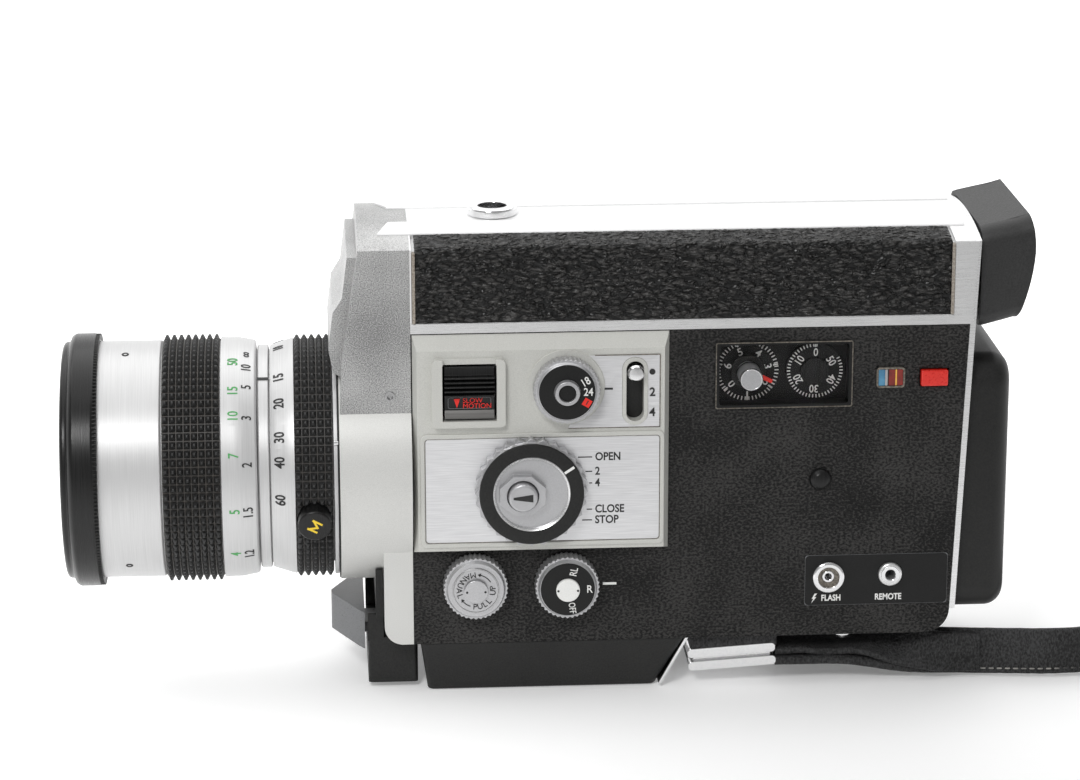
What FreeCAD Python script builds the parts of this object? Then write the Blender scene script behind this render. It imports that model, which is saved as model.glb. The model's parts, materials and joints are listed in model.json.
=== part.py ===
import FreeCAD, Part
import math
import os

# Super-8 cine camera with a zoom lens. Millimetres. The lens looks along -X, +Z is up and the
# control side faces -Y. The origin is the mouth of the tripod socket, in the plane of the lens axis.

V = FreeCAD.Vector
X_AXIS = V(1, 0, 0)
Y_AXIS = V(0, 1, 0)
Z_AXIS = V(0, 0, 1)

# Body casing
HALF_WIDTH = 25.0
WALL = 2.5
BODY_FRONT = -35.0
BODY_BOTTOM = 13.0
WAIST = 91.0
CROWN = 114.0
CROWN_RADIUS = 120.0
REAR_AT_WAIST = 98.8
REAR_LEAN = math.tan(math.radians(2.4))
REAR_CORNER = 6.0
GAP = 0.3

# Lens
LENS_Z = 54.0
CORE_R = 26.2
SLEEVE_BORE = 26.5
FRONT_RING_R = 30.9
FILTER_THREAD_R = 27.5
FRONT_X = -118.6
SHROUD_R = 30.5
SHROUD_FRONT = -52.2

# Control panel on the -Y side
PANEL_FACE = -28.0
SIDE = -HALF_WIDTH
INNER_SIDE = SIDE + WALL

# Places of the controls: X, Z
RATE_DIAL = (1.7, 78.1)
SHUTTER_DIAL = (-6.7, 52.8)
SHUTTER_HUB = (-8.9, 52.8)
EXPOSURE_DIAL = (-20.1, 28.4)
RUN_DIAL = (2.0, 28.2)
LEVER_X = 18.2
LEVER_TOP = 81.8
FRAME_DIAL = (45.9, 79.3)
FOOTAGE_DIAL = (62.0, 79.3)
LAMP = (63.4, 52.9)
FLASH = (65.8, 28.1)
REMOTE = (80.9, 28.5)
LIGHT_SOCKET_X = -14.2
LATCH = (-6.0, 55.0)

# Screws under the base: X, Y
BASE_SCREWS = [(-26.0, -15.5), (-26.0, 15.5), (18.0, -15.5), (18.0, 15.5)]

# Drive
SHUTTER_Z = 38.0
SHUTTER_GEAR_TEETH = 50
PINION_TEETH = 15
MODULE = 0.5
MOTOR_Y = -15.8
MOTOR_Z = 42.0
TAKEUP = (28.0, 55.0)
FINDER_Z = 100.0
FINDER_R = 8.8

os.makedirs("parts", exist_ok=True)


def save(name, shape):
    """Write one named piece."""
    shape.exportStep("parts/" + name + ".step")


def box(x0, x1, y0, y1, z0, z1):
    return Part.makeBox(x1 - x0, y1 - y0, z1 - z0, V(x0, y0, z0))


def rod_x(r, x0, x1, y=0.0, z=LENS_Z):
    return Part.makeCylinder(r, x1 - x0, V(x0, y, z), X_AXIS)


def rod_y(r, y0, y1, place):
    return Part.makeCylinder(r, y1 - y0, V(place[0], y0, place[1]), Y_AXIS)


def rod_z(r, z0, z1, x=0.0, y=0.0):
    return Part.makeCylinder(r, z1 - z0, V(x, y, z0), Z_AXIS)


def face_of(points):
    """Flat face inside a closed row of points."""
    return Part.Face(Part.makePolygon(points + points[:1]))


def turned_x(points, y=0.0, z=LENS_Z):
    """Solid turned about an axis along X from (x, radius) points."""
    outline = face_of([V(x, y, z + r) for x, r in points])
    return outline.revolve(V(0, y, z), X_AXIS, 360)


def turned_y(points, place):
    """Solid turned about an axis along Y from (y, radius) points."""
    outline = face_of([V(place[0] + r, y, place[1]) for y, r in points])
    return outline.revolve(V(place[0], 0, place[1]), Y_AXIS, 360)


def plate_xz(points, y0, y1):
    """Prism along Y from (x, z) points."""
    return face_of([V(x, y0, z) for x, z in points]).extrude(V(0, y1 - y0, 0))


def rounded_box(x0, x1, y0, y1, z0, z1, r, axis):
    """Box with its four edges along one axis rounded."""
    solid = box(x0, x1, y0, y1, z0, z1)
    edges = [e for e in solid.Edges if abs(e.tangentAt(e.FirstParameter).dot(axis)) > 0.99]
    return solid.makeFillet(r, edges)


def frustum_y(base, top, y0, y1):
    """Block between two rectangles (x0, x1, z0, z1) that lie at y0 and y1."""
    along_z = [V(base[0], y0, base[2]), V(base[1], y0, base[2]),
               V(top[1], y1, base[2]), V(top[0], y1, base[2])]
    along_x = [V(base[0], y0, base[2]), V(base[0], y0, base[3]),
               V(base[0], y1, top[3]), V(base[0], y1, top[2])]
    tall = face_of(along_z).extrude(V(0, 0, base[3] - base[2]))
    wide = face_of(along_x).extrude(V(base[1] - base[0], 0, 0))
    return tall.common(wide)


def scalloped_disc(r, count, depth, y0, y1, place):
    """Knob rim with shallow flutes: a disc whose radius dips between the lobes."""
    points = []
    for i in range(count * 2):
        angle = math.pi * i / count
        radius = r if i % 2 == 0 else r - depth
        points.append(V(place[0] + radius * math.cos(angle), y0, place[1] + radius * math.sin(angle)))
    return face_of(points).extrude(V(0, y1 - y0, 0))


def spur_gear_x(teeth, x0, x1, y, z, turn):
    """Spur gear about an axis along X with straight-sided teeth; turn is one tooth's angle."""
    pitch_r = MODULE * teeth / 2
    tip_r = pitch_r + 0.8 * MODULE
    root_r = pitch_r - 1.1 * MODULE
    step = 2 * math.pi / teeth
    points = []
    for i in range(teeth):
        middle = turn + i * step
        for offset, radius in ((-0.30, root_r), (-0.11, tip_r), (0.11, tip_r), (0.30, root_r)):
            angle = middle + offset * step
            points.append(V(x0, y + radius * math.cos(angle), z + radius * math.sin(angle)))
    return face_of(points).extrude(V(x1 - x0, 0, 0))


def rear_x(z):
    """X of the leaning rear wall at a height."""
    return REAR_AT_WAIST - (WAIST - z) * REAR_LEAN


def crown_rod(inset):
    """Large rod along X whose top is the crowned roof."""
    return rod_x(CROWN_RADIUS - inset, -70, 130, 0, CROWN - CROWN_RADIUS)


def envelope(inset):
    """Outer form of the casing, drawn in by inset on every side but the open front."""
    low = BODY_BOTTOM + inset
    side = HALF_WIDTH - inset
    profile = plate_xz([(BODY_FRONT, low), (rear_x(low) - inset, low),
                        (rear_x(122) - inset, 122), (BODY_FRONT, 122)], -side, side)
    corner = [e for e in profile.Edges
              if abs(e.CenterOfMass.z - low) < 0.1 and abs(e.CenterOfMass.x - rear_x(low) + inset) < 0.1]
    profile = profile.makeFillet(REAR_CORNER - inset, corner)
    return profile.common(crown_rod(inset))


OUTER = envelope(0)
INNER = envelope(WALL)
SKIN = OUTER.cut(INNER)


# ---------------------------------------------------------------- lens

def front_ring():
    outline = [(FRONT_X, FILTER_THREAD_R), (FRONT_X, 28.3), (FRONT_X + 0.6, 28.9), (-117.0, 28.9),
               (-116.4, 30.3), (-115.6, FRONT_RING_R), (-110.8, FRONT_RING_R), (-109.8, 30.0),
               (-109.8, 26.0), (-114.6, 26.0), (-114.6, FILTER_THREAD_R)]
    return turned_x(outline)


def front_barrel():
    return turned_x([(-109.8, 26.0), (-109.8, 28.9), (-95.0, 28.9), (-94.6, 28.5), (-94.6, 26.5),
                     (-104.0, 26.5), (-104.0, 26.0)])


def ribbed_sleeve(x0, x1, bore, r, depth, count):
    """Rubber sleeve with rows of ribs round it."""
    pitch = (x1 - x0) / count
    outline = [(x0, bore)]
    for i in range(count):
        start = x0 + i * pitch
        outline += [(start + 0.15 * pitch, r - depth), (start + 0.4 * pitch, r),
                    (start + 0.7 * pitch, r), (start + 0.95 * pitch, r - depth)]
    outline += [(x1, r - depth), (x1, bore)]
    return turned_x(outline)


def distance_ring():
    return turned_x([(-94.6, SLEEVE_BORE), (-94.6, 28.4), (-80.4, 28.4), (-80.4, 29.4), (-76.0, 29.3),
                     (-72.3, 28.6), (-71.9, 28.2), (-71.9, SLEEVE_BORE)])


def front_element():
    """Meniscus of the focusing group, ground to meet its ring."""
    outline = []
    for i in range(9):
        r = 26.0 * i / 8
        outline.append((-112.6 + 3.4 * (r / 26.0) ** 2, r))
    outline += [(-106.6, 26.0), (-106.6, 18.0), (-107.6, 9.0), (-108.0, 0)]
    return turned_x(outline)


def lens_core():
    """Fixed tube with the silver index ring, the rear rim and a rear wall for the relay group."""
    return turned_x([(-103.6, 24.2), (-103.6, 26.1), (-71.6, 26.1), (-71.6, 27.0), (-71.3, 27.3),
                     (-69.1, 27.3), (-68.9, 27.0), (-68.9, 26.1), (-53.6, 26.1), (-53.6, 29.2),
                     (-52.6, 29.2), (-52.6, CORE_R), (-38.0, CORE_R), (-38.0, 12.0), (-44.0, 12.0),
                     (-44.0, 24.2)])


def zoom_scale_ring():
    return turned_x([(-68.6, SLEEVE_BORE), (-68.6, 27.1), (-68.3, 27.3), (-64.0, 28.7), (-62.9, 28.9),
                     (-62.9, 28.4), (-53.9, 28.4), (-53.9, SLEEVE_BORE)])


BUTTON_X = -58.4
BUTTON_ANGLE = math.radians(-14.7)
BUTTON_OUT = V(0, -math.cos(BUTTON_ANGLE), math.sin(BUTTON_ANGLE))


def radial_rod(r, inner, outer):
    """Rod that points away from the lens axis at the macro button."""
    start = V(BUTTON_X, 0, LENS_Z) + BUTTON_OUT * inner
    return Part.makeCylinder(r, outer - inner, start, BUTTON_OUT)


def variator_lens():
    outline = [(-86.0, 23.9), (-86.0, 21.0), (-89.5, 12.0), (-90.5, 0), (-84.5, 0), (-83.5, 12.0),
               (-80.0, 21.0), (-80.0, 23.9)]
    return turned_x(outline)


def relay_lens():
    return turned_x([(-44.0, 0), (-43.4, 6.0), (-42.4, 12.0), (-39.6, 12.0), (-38.8, 6.0), (-38.4, 0)])


def make_lens():
    hole = radial_rod(4.3, 20, 40)
    zoom_sleeve = zoom_scale_ring().cut(hole)
    zoom_rubber = ribbed_sleeve(-62.9, -53.9, 28.4, 29.6, 0.8, 5).cut(hole)
    button = radial_rod(4.0, 27.9, 32.6)
    rim = [e for e in button.Edges if (e.CenterOfMass - V(BUTTON_X, 0, LENS_Z)).Length > 32]
    save("front_ring", front_ring())
    save("front_barrel", front_barrel())
    save("focus_grip", ribbed_sleeve(-94.4, -80.6, 28.4, 30.1, 0.9, 8))
    save("distance_ring", distance_ring())
    save("front_element", front_element())
    save("lens_core", lens_core())
    save("zoom_scale_ring", zoom_sleeve)
    save("zoom_grip", zoom_rubber)
    save("macro_button", button.makeFillet(0.5, rim))
    save("variator_lens", variator_lens())
    save("relay_lens", relay_lens())


# ---------------------------------------------------------------- front of the body

COVER_BOTTOM = 70.5
COVER_LINE = [(-52.0, COVER_BOTTOM), (-51.4, 84.4), (-47.4, 109.6), (-46.6, 122.0)]


def front_form(inset):
    """Upper front: slanted face, crowned top."""
    line = [(x + inset, z) for x, z in COVER_LINE]
    side = HALF_WIDTH - inset
    form = plate_xz(line + [(BODY_FRONT, 122), (BODY_FRONT, COVER_BOTTOM)], -side, side)
    return form.common(crown_rod(inset))


def front_cover():
    """Metallic cover over the lens mount, with the raised surround above the lens."""
    shell = front_form(0).cut(front_form(2.0))
    floor = box(-52.0, BODY_FRONT, -HALF_WIDTH, HALF_WIDTH, COVER_BOTTOM, COVER_BOTTOM + 2)
    floor = floor.common(front_form(0))
    brow = plate_xz([(-51.0, 79.0), (-53.4, 80.4), (-54.4, 86.0), (-53.3, 95.0), (-51.0, 98.6),
                     (-49.7, 108.6), (-47.0, 108.6), (-50.6, 86.0)], -20, 20)
    solid = shell.fuse(floor).fuse(brow)
    solid = solid.cut(rod_x(SHROUD_R, -56, BODY_FRONT + 1))
    solid = solid.cut(rod_x(31.3, -60, SHROUD_FRONT))
    for side in (-1, 1):
        place = (-40.0, 75.6)
        low = min(side * 22.5, side * 26)
        solid = solid.cut(rod_y(1.3, low, low + 3.5, place))
    return solid.removeSplitter()


def front_housing():
    """Pale casting: round shroud of the lens seat, and the fairing below it."""
    shroud = rod_x(SHROUD_R, SHROUD_FRONT, BODY_FRONT)
    shroud = shroud.cut(rod_x(28.3, SHROUD_FRONT - 1, -38.6))
    fairing = box(-42.0, BODY_FRONT, -HALF_WIDTH, HALF_WIDTH, BODY_BOTTOM, 40.0)
    toe = [e for e in fairing.Edges if e.BoundBox.XMax < -41.9 and e.BoundBox.ZMax < BODY_BOTTOM + 0.1]
    fairing = fairing.makeFillet(4.5, toe)
    square_rear = box(-38.0, BODY_FRONT, -HALF_WIDTH, HALF_WIDTH, BODY_BOTTOM, COVER_BOTTOM)
    solid = shroud.fuse(fairing).fuse(square_rear)
    hollow = box(-39.6, BODY_FRONT + 1, -22.4, 22.4, 15.4, 34.0)
    solid = solid.cut(hollow)
    solid = solid.cut(rod_x(CORE_R, -60, -30))
    return solid.removeSplitter()


def make_front():
    save("front_cover", front_cover())
    save("front_housing", front_housing())


# ---------------------------------------------------------------- casing

BATTERY_WINDOW = box(88, 110, -17, 17, 21, 78.5)
EYE_HOLE = rod_x(FINDER_R + 0.1, 90, 110, 0, FINDER_Z)
DOOR = (-14.0, 68.0, 17.5, 89.0)
HINGE_X = DOOR[1] + 0.6
HINGE_Y = HALF_WIDTH + 0.4
KNUCKLES = ((25.0, 35.0), (71.0, 81.0))


def shell_side(side):
    low = min(0, side * 30)
    solid = SKIN.common(box(BODY_FRONT, 120, low, low + 30, 0, WAIST))
    return solid.cut(BATTERY_WINDOW)


def counter_block(inset):
    return rounded_box(37.7 + inset, 70.8 - inset, SIDE - 0.3, -19.5,
                       71.0 + inset, 87.5 - inset, 1.0, Y_AXIS)


def slow_pocket():
    return box(-27.7, -14.8, -31, -21, 70.5, 84.2)


def lever_slot():
    return rounded_box(16.1, 20.3, -31, -21, 69.4, 84.2, 2.05, Y_AXIS)


def left_shell():
    solid = shell_side(-1)
    cuts = [counter_block(0), slow_pocket(), lever_slot(),
            rod_y(2.3, -30, -20, RATE_DIAL), rod_y(2.3, -30, -20, SHUTTER_DIAL),
            rod_y(2.3, -30, -20, EXPOSURE_DIAL), rod_y(2.3, -30, -20, RUN_DIAL),
            rod_y(2.0, -30, -20, LAMP), rod_y(3.2, -30, -20, FLASH), rod_y(2.3, -30, -20, REMOTE),
            box(76.5, 83.3, -30, -20, 75.6, 80.6), box(86.9, 94.0, -30, -20, 75.6, 80.1),
            jack_form()]
    for cut in cuts:
        solid = solid.cut(cut)
    return solid


def jack_form():
    return rounded_box(60.2, 95.0, SIDE - 0.15, SIDE + 0.8, 20.7, 33.4, 1.0, Y_AXIS)


def right_shell():
    solid = shell_side(1)
    x0, x1, z0, z1 = DOOR
    solid = solid.cut(box(x0 - GAP, x1 + GAP, 22, 27, z0 - GAP, z1 + GAP))
    for low, high in KNUCKLES:
        solid = solid.cut(rod_z(1.9, low - GAP, high + GAP, HINGE_X, HINGE_Y))
    return solid


def leather_solids():
    """Leather bands let into both sides; the one on the control side folds over onto the roof."""
    layer = OUTER.cut(envelope(0.9))
    bands = []
    for low, high in ((-26, -16), (23.4, 26)):
        bands.append(layer.common(box(-34.6, 94.7, low, high, 93.4, 122)))
    return bands


COVER_HINGE_OUT = 3.2
COVER_HINGE_Y = 23.6


def leaning_rod(r, low, high):
    """Part of the battery cover's hinge, whose axis leans with the rear wall."""
    start = V(rear_x(low) + COVER_HINGE_OUT, COVER_HINGE_Y, low)
    run = V(rear_x(high) + COVER_HINGE_OUT, COVER_HINGE_Y, high) - start
    return Part.makeCylinder(r, run.Length, start, run)


def trim_form():
    """Bright frame: a thin plate round the rear and a strip along each side at the waist."""
    lean = [(rear_x(19), 19), (rear_x(122), 122), (rear_x(122) + 1.4, 122), (rear_x(19) + 1.4, 19)]
    plate = plate_xz(lean, -24.8, 24.8).common(crown_rod(0.1))
    solid = plate.cut(BATTERY_WINDOW).cut(EYE_HOLE)
    for low in (-25.3, 24.1):
        strip = box(BODY_FRONT, 99.6, low, low + 1.2, WAIST, 93.3)
        post = plate_xz([(94.8, 93.3), (99.4, 93.3), (100.4, 111.2), (94.8, 111.2)], low, low + 1.2)
        solid = solid.fuse(strip).fuse(post)
    web = plate_xz([(rear_x(40) + 1, 40), (rear_x(58) + 1, 58), (rear_x(58) + 3, 58), (rear_x(40) + 3, 40)],
                   COVER_HINGE_Y - 0.4, COVER_HINGE_Y + 0.6)
    return solid.fuse(web).fuse(leaning_rod(1.0, 39.5, 58.5)).removeSplitter()


def top_cover(trim, leather):
    solid = SKIN.common(box(BODY_FRONT, 120, -30, 30, WAIST, 122))
    for piece in leather + [trim]:
        solid = solid.cut(piece)
    solid = solid.cut(EYE_HOLE).cut(rod_z(5.0, 100, 120, LIGHT_SOCKET_X, 0))
    return solid


def film_door():
    x0, x1, z0, z1 = DOOR
    leaf = rounded_box(x0, x1, 22.8, HALF_WIDTH, z0, z1, 3.0, Y_AXIS)
    leaf = leaf.cut(box(HINGE_X - 2.2, x1 + 1, 22, 26, z0 - 1, z1 + 1))
    pad = box(10, 50, 20.6, 22.8, 35, 75)
    solid = leaf.fuse(pad)
    for low, high in KNUCKLES:
        solid = solid.fuse(rod_z(1.5, low, high, HINGE_X, HINGE_Y))
        solid = solid.fuse(box(HINGE_X - 4, HINGE_X, 23.9, 25.4, low, high))
    return solid.cut(rod_y(1.8, 20, 27, LATCH)).removeSplitter()


def door_latch():
    knob = turned_y([(HALF_WIDTH + 0.2, 0), (HALF_WIDTH + 0.2, 5.5), (HALF_WIDTH + 1.6, 5.5),
                     (HALF_WIDTH + 2.1, 5.0), (HALF_WIDTH + 2.1, 0)], LATCH)
    wing = box(LATCH[0] - 5.2, LATCH[0] + 5.2, HALF_WIDTH + 2.1, HALF_WIDTH + 3.6,
               LATCH[1] - 1, LATCH[1] + 1)
    stem = rod_y(1.5, 20.2, HALF_WIDTH + 0.2, LATCH)
    return knob.fuse(wing).fuse(stem).removeSplitter()


def rear_cover():
    """Domed battery cover; its open side lies along the leaning rear plate."""
    shell = rounded_box(94, 110, -22.5, 22.5, 17, 81.5, 7.0, X_AXIS)
    shell = shell.makeFillet(4.5, [e for e in shell.Edges if abs(e.CenterOfMass.x - 110) < 0.1])
    hollow = rounded_box(93, 108.2, -20.8, 20.8, 18.8, 79.7, 5.5, X_AXIS)
    behind = plate_xz([(90, 10), (rear_x(10) + 1.7, 10), (rear_x(90) + 1.7, 90), (90, 90)], -30, 30)
    shell = shell.cut(hollow).cut(behind)
    for low, high in ((27.0, 39.0), (59.0, 71.0)):
        shell = shell.fuse(leaning_rod(1.3, low, high))
    return shell.removeSplitter()


def battery_cells():
    cells = []
    for x in (84.4, 99.1):
        for y in (-7.5, 7.5):
            cell = rod_z(7.2, 24, 73.5, x, y).fuse(rod_z(2.7, 73.5, 74.8, x, y))
            cells.append(cell.removeSplitter())
    return Part.makeCompound(cells)


def make_casing():
    leather = leather_solids()
    trim = trim_form()
    save("left_shell", left_shell())
    save("right_shell", right_shell())
    save("top_cover", top_cover(trim, leather))
    save("leather_strips", Part.makeCompound(leather))
    save("trim_frame", trim)
    save("film_door", film_door())
    save("door_latch", door_latch())
    save("rear_cover", rear_cover())
    save("battery_cells", battery_cells())


# ---------------------------------------------------------------- control panel

BRUSHED = (-31.9, 24.2, 39.7, 65.7)


def control_panel():
    solid = frustum_y((-34.7, 26.6, 36.6, 90.7), (-33.7, 25.3, 37.6, 87.4), SIDE, PANEL_FACE)
    guard = rounded_box(-30.2, -12.7, -29.8, -27, 68.9, 85.6, 1.2, Y_AXIS)
    lever_rim = rounded_box(15.2, 21.2, -28.5, -27, 68.5, 85.1, 2.9, Y_AXIS)
    seat = rod_y(9.2, -28.5, -27, RATE_DIAL)
    guard = guard.cut(box(-27.6, -15.0, -30, -28.4, 84.0, 86.0))
    solid = solid.fuse(guard).fuse(lever_rim).fuse(seat)
    for cut in (slow_pocket(), lever_slot(), rod_y(2.3, -30, -20, RATE_DIAL),
                rod_y(2.3, -30, -20, SHUTTER_DIAL), brushed_form(0)):
        solid = solid.cut(cut)
    return solid.removeSplitter()


def brushed_form(inset):
    x0, x1, z0, z1 = BRUSHED
    return rounded_box(x0 + inset, x1 - inset, PANEL_FACE - 0.1, PANEL_FACE + 0.9, z0 + inset, z1 - inset,
                       0.8, Y_AXIS)


def slow_button():
    solid = box(-27.3, -15.2, -29.0, -24.6, 70.9, 83.8)
    for i in range(5):
        low = 77.6 + i * 1.2
        solid = solid.fuse(box(-26.9, -15.6, -30.2, -29.0, low, low + 0.6))
    return solid.removeSplitter()


def rate_dial():
    place = RATE_DIAL
    rim = scalloped_disc(8.0, 44, 0.35, -32.2, -28.8, place)
    face = turned_y([(-32.2, 0), (-32.2, 7.2), (-32.8, 6.8), (-32.8, 3.2), (-34.2, 2.9), (-34.2, 2.1),
                     (-33.4, 2.0), (-33.4, 0)], place)
    return rim.fuse(face).fuse(rod_y(2.0, -28.8, -21.5, place)).removeSplitter()


def speed_lever():
    head_half = [(-28.8, 0), (-28.8, 1.75), (-30.4, 2.0), (-31.0, 1.6), (-31.2, 0)]
    head = turned_y(head_half, (LEVER_X, LEVER_TOP))
    stem = rod_y(1.6, -28.8, -20.5, (LEVER_X, LEVER_TOP))
    return head.fuse(stem).removeSplitter()


def shutter_dial():
    place = SHUTTER_DIAL
    rim = scalloped_disc(13.5, 28, 0.9, -30.8, -28.4, place)
    ring_half = [(-30.8, 0), (-30.8, 12.6), (-32.2, 12.2), (-32.2, 9.0), (-31.4, 9.0), (-31.4, 0)]
    ring = turned_y(ring_half, place)
    hub_points = []
    for i in range(8):
        angle = math.pi * (i + 0.5) / 4
        hub_points.append(V(SHUTTER_HUB[0] + 5.9 * math.cos(angle), -33.6,
                            SHUTTER_HUB[1] + 5.2 * math.sin(angle)))
    hub = face_of(hub_points).extrude(V(0, 2.3, 0))
    solid = rim.fuse(ring).fuse(hub).fuse(rod_y(2.0, -28.4, -22.0, place))
    return solid.cut(rod_y(3.8, -40, -30.2, SHUTTER_HUB)).removeSplitter()


def dial_button():
    button = turned_y([(-32.0, 0), (-32.0, 3.5), (-35.0, 3.5), (-35.4, 3.1), (-35.4, 0)], SHUTTER_HUB)
    return button


def small_dial(place, face_y):
    """Fluted rim and a flat ring face of a lower dial."""
    rim = scalloped_disc(7.8, 40, 0.4, face_y + 1.4, SIDE - 0.4, place)
    face = turned_y([(face_y + 1.4, 0), (face_y + 1.4, 7.2), (face_y + 0.4, 6.7), (face_y + 0.4, 5.6),
                     (face_y, 5.3), (face_y, 0)], place)
    return rim.fuse(face)


def make_controls():
    lower_shaft = rod_y(2.0, SIDE - 0.4, -20.5, RUN_DIAL)
    run_cap = rod_y(2.8, -31.8, -31.0, RUN_DIAL)
    spindle = rod_y(2.0, -31.2, -20.7, EXPOSURE_DIAL).fuse(rod_y(2.9, -32.0, -31.2, EXPOSURE_DIAL))
    exposure = small_dial(EXPOSURE_DIAL, -30.9).cut(rod_y(2.3, -40, -20, EXPOSURE_DIAL))
    plate = brushed_form(0.05).cut(rod_y(2.3, -30, -20, SHUTTER_DIAL))
    save("control_panel", control_panel())
    save("brushed_plate", plate)
    save("slow_button", slow_button())
    save("rate_dial", rate_dial())
    save("speed_lever", speed_lever())
    save("shutter_dial", shutter_dial())
    save("dial_button", dial_button())
    save("exposure_spindle", spindle.removeSplitter())
    save("exposure_dial", exposure.removeSplitter())
    save("run_dial", small_dial(RUN_DIAL, -31.0).fuse(run_cap).fuse(lower_shaft).removeSplitter())


# ---------------------------------------------------------------- counters, windows and sockets

def counter_frame():
    tray = counter_block(0).cut(rounded_box(38.7, 69.8, -27, -20.7, 71.9, 86.7, 0.6, Y_AXIS))
    return tray.cut(rod_y(1.4, -22, -19, FRAME_DIAL)).cut(rod_y(1.4, -22, -19, FOOTAGE_DIAL))


def counter_glass():
    glass = rounded_box(38.7, 69.8, SIDE + 0.2, SIDE + 1.0, 71.9, 86.7, 0.6, Y_AXIS)
    return glass.cut(rod_y(3.0, -30, -20, FRAME_DIAL))


def frame_knob():
    knob = turned_y([(-21.6, 0), (-21.6, 4.2), (-22.3, 4.2), (-22.3, 2.6), (-28.6, 2.6), (-29.2, 2.1),
                     (-29.2, 0)], FRAME_DIAL)
    return knob.fuse(rod_y(1.1, -21.6, -18.0, FRAME_DIAL)).removeSplitter()


def footage_disc():
    disc = turned_y([(-21.2, 0), (-21.2, 6.9), (-22.0, 6.9), (-22.0, 0)], FOOTAGE_DIAL)
    return disc.fuse(rod_y(1.1, -21.2, -18.0, FOOTAGE_DIAL)).removeSplitter()


def lamp_lens():
    return turned_y([(-22.7, 0), (-22.7, 2.0), (-25.05, 2.0), (-25.05, 2.8), (-25.9, 2.5), (-26.7, 1.6),
                     (-27.0, 0)], LAMP)


def flash_socket():
    body = turned_y([(-19.0, 0), (-19.0, 3.2), (-25.15, 3.2), (-25.15, 3.9), (-26.3, 3.9), (-26.6, 3.5),
                     (-26.6, 2.6), (-21.5, 2.6), (-21.5, 1.5), (-25.6, 1.5), (-25.6, 0.8), (-21.5, 0.8),
                     (-21.5, 0)], FLASH)
    return body


def remote_jack():
    return turned_y([(-15.6, 1.25), (-15.6, 2.3), (-25.15, 2.3), (-25.15, 2.9), (-26.2, 2.9), (-26.5, 2.5),
                     (-26.5, 1.25)], REMOTE)


def light_socket():
    ring = rod_z(6.0, CROWN, CROWN + 2.2, LIGHT_SOCKET_X, 0)
    ring = ring.makeFillet(0.7, [e for e in ring.Edges if abs(e.CenterOfMass.z - CROWN - 2.2) < 0.1])
    body = rod_z(4.9, 107.5, CROWN, LIGHT_SOCKET_X, 0)
    return ring.fuse(body).cut(rod_z(3.5, 109, 120, LIGHT_SOCKET_X, 0)).removeSplitter()


def make_details():
    plate = jack_form().cut(rod_y(3.2, -30, -20, FLASH)).cut(rod_y(2.3, -30, -20, REMOTE))
    window = box(76.5, 83.3, SIDE - 0.4, INNER_SIDE - 0.2, 75.6, 80.6)
    check = box(87.2, 93.7, -26.2, -21.6, 75.9, 79.8)
    check = check.makeFillet(0.4, [e for e in check.Edges if abs(e.CenterOfMass.y + 26.2) < 0.1])
    save("counter_frame", counter_frame())
    save("counter_glass", counter_glass())
    save("frame_knob", frame_knob())
    save("footage_disc", footage_disc())
    save("indicator_window", window)
    save("check_button", check)
    save("lamp_lens", lamp_lens())
    save("jack_plate", plate)
    save("flash_socket", flash_socket())
    save("remote_jack", remote_jack())
    save("light_socket", light_socket())


# ---------------------------------------------------------------- inside

SHUTTER_BLADE_X = (-21.2, -20.4)
GEAR_X = (-18.6, -15.6)


def rotary_shutter():
    """Shutter disc with its light sector cut out, its shaft and its gear."""
    disc = rod_x(19.6, SHUTTER_BLADE_X[0], SHUTTER_BLADE_X[1], 0, SHUTTER_Z)
    sector = [V(-25, 0, SHUTTER_Z)]
    for i in range(11):
        angle = math.radians(15 + 15 * i)
        sector.append(V(-25, 30 * math.cos(angle), SHUTTER_Z + 30 * math.sin(angle)))
    opening = face_of(sector).extrude(V(10, 0, 0)).cut(rod_x(8, -30, -10, 0, SHUTTER_Z))
    shaft = rod_x(1.5, -25, -14.6, 0, SHUTTER_Z)
    gear = spur_gear_x(SHUTTER_GEAR_TEETH, GEAR_X[0], GEAR_X[1], 0, SHUTTER_Z, mesh_angle())
    return disc.cut(opening).fuse(shaft).fuse(gear)


def mesh_angle():
    """Direction from the shutter shaft to the motor shaft, where a tooth points into a gap."""
    return math.atan2(MOTOR_Z - SHUTTER_Z, MOTOR_Y)


def motor_pinion():
    half_step = math.pi / PINION_TEETH
    phase = mesh_angle() + math.pi + half_step
    gear = spur_gear_x(PINION_TEETH, GEAR_X[0], GEAR_X[1], MOTOR_Y, MOTOR_Z, phase)
    return gear.fuse(rod_x(1.0, -20.0, -10.4, MOTOR_Y, MOTOR_Z)).removeSplitter()


def motor():
    can = turned_x([(-10, 1.5), (-10, 5.9), (-9.5, 6.4), (13.5, 6.4), (14, 5.9), (14, 0), (-8, 0),
                    (-8, 1.5)], MOTOR_Y, MOTOR_Z)
    return can


def chassis_plate():
    """Plate between the mechanism and the film chamber, with the film gate at its front."""
    plate = box(-14, 72, -9, -7, 17, 90)
    gate = box(-14, -12.5, -9, 20, 17.0, 90)
    aperture = box(-20, -5, -2.9, 2.9, LENS_Z - 2.1, LENS_Z + 2.1)
    shaft = rod_x(2.0, -20, -10, 0, SHUTTER_Z)
    solid = plate.fuse(gate).cut(aperture).cut(rod_y(3.3, -12, -5, TAKEUP)).cut(shaft)
    return solid.removeSplitter()


def takeup_spindle():
    solid = rod_y(3.0, -13.6, 1.0, TAKEUP).fuse(rod_y(11.0, -13.4, -11.4, TAKEUP))
    for i in range(3):
        angle = 2 * math.pi * i / 3
        x = TAKEUP[0] + 3.0 * math.cos(angle)
        z = TAKEUP[1] + 3.0 * math.sin(angle)
        solid = solid.fuse(rod_y(0.8, -6.0, 1.0, (x, z)))
    return solid.removeSplitter()


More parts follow.
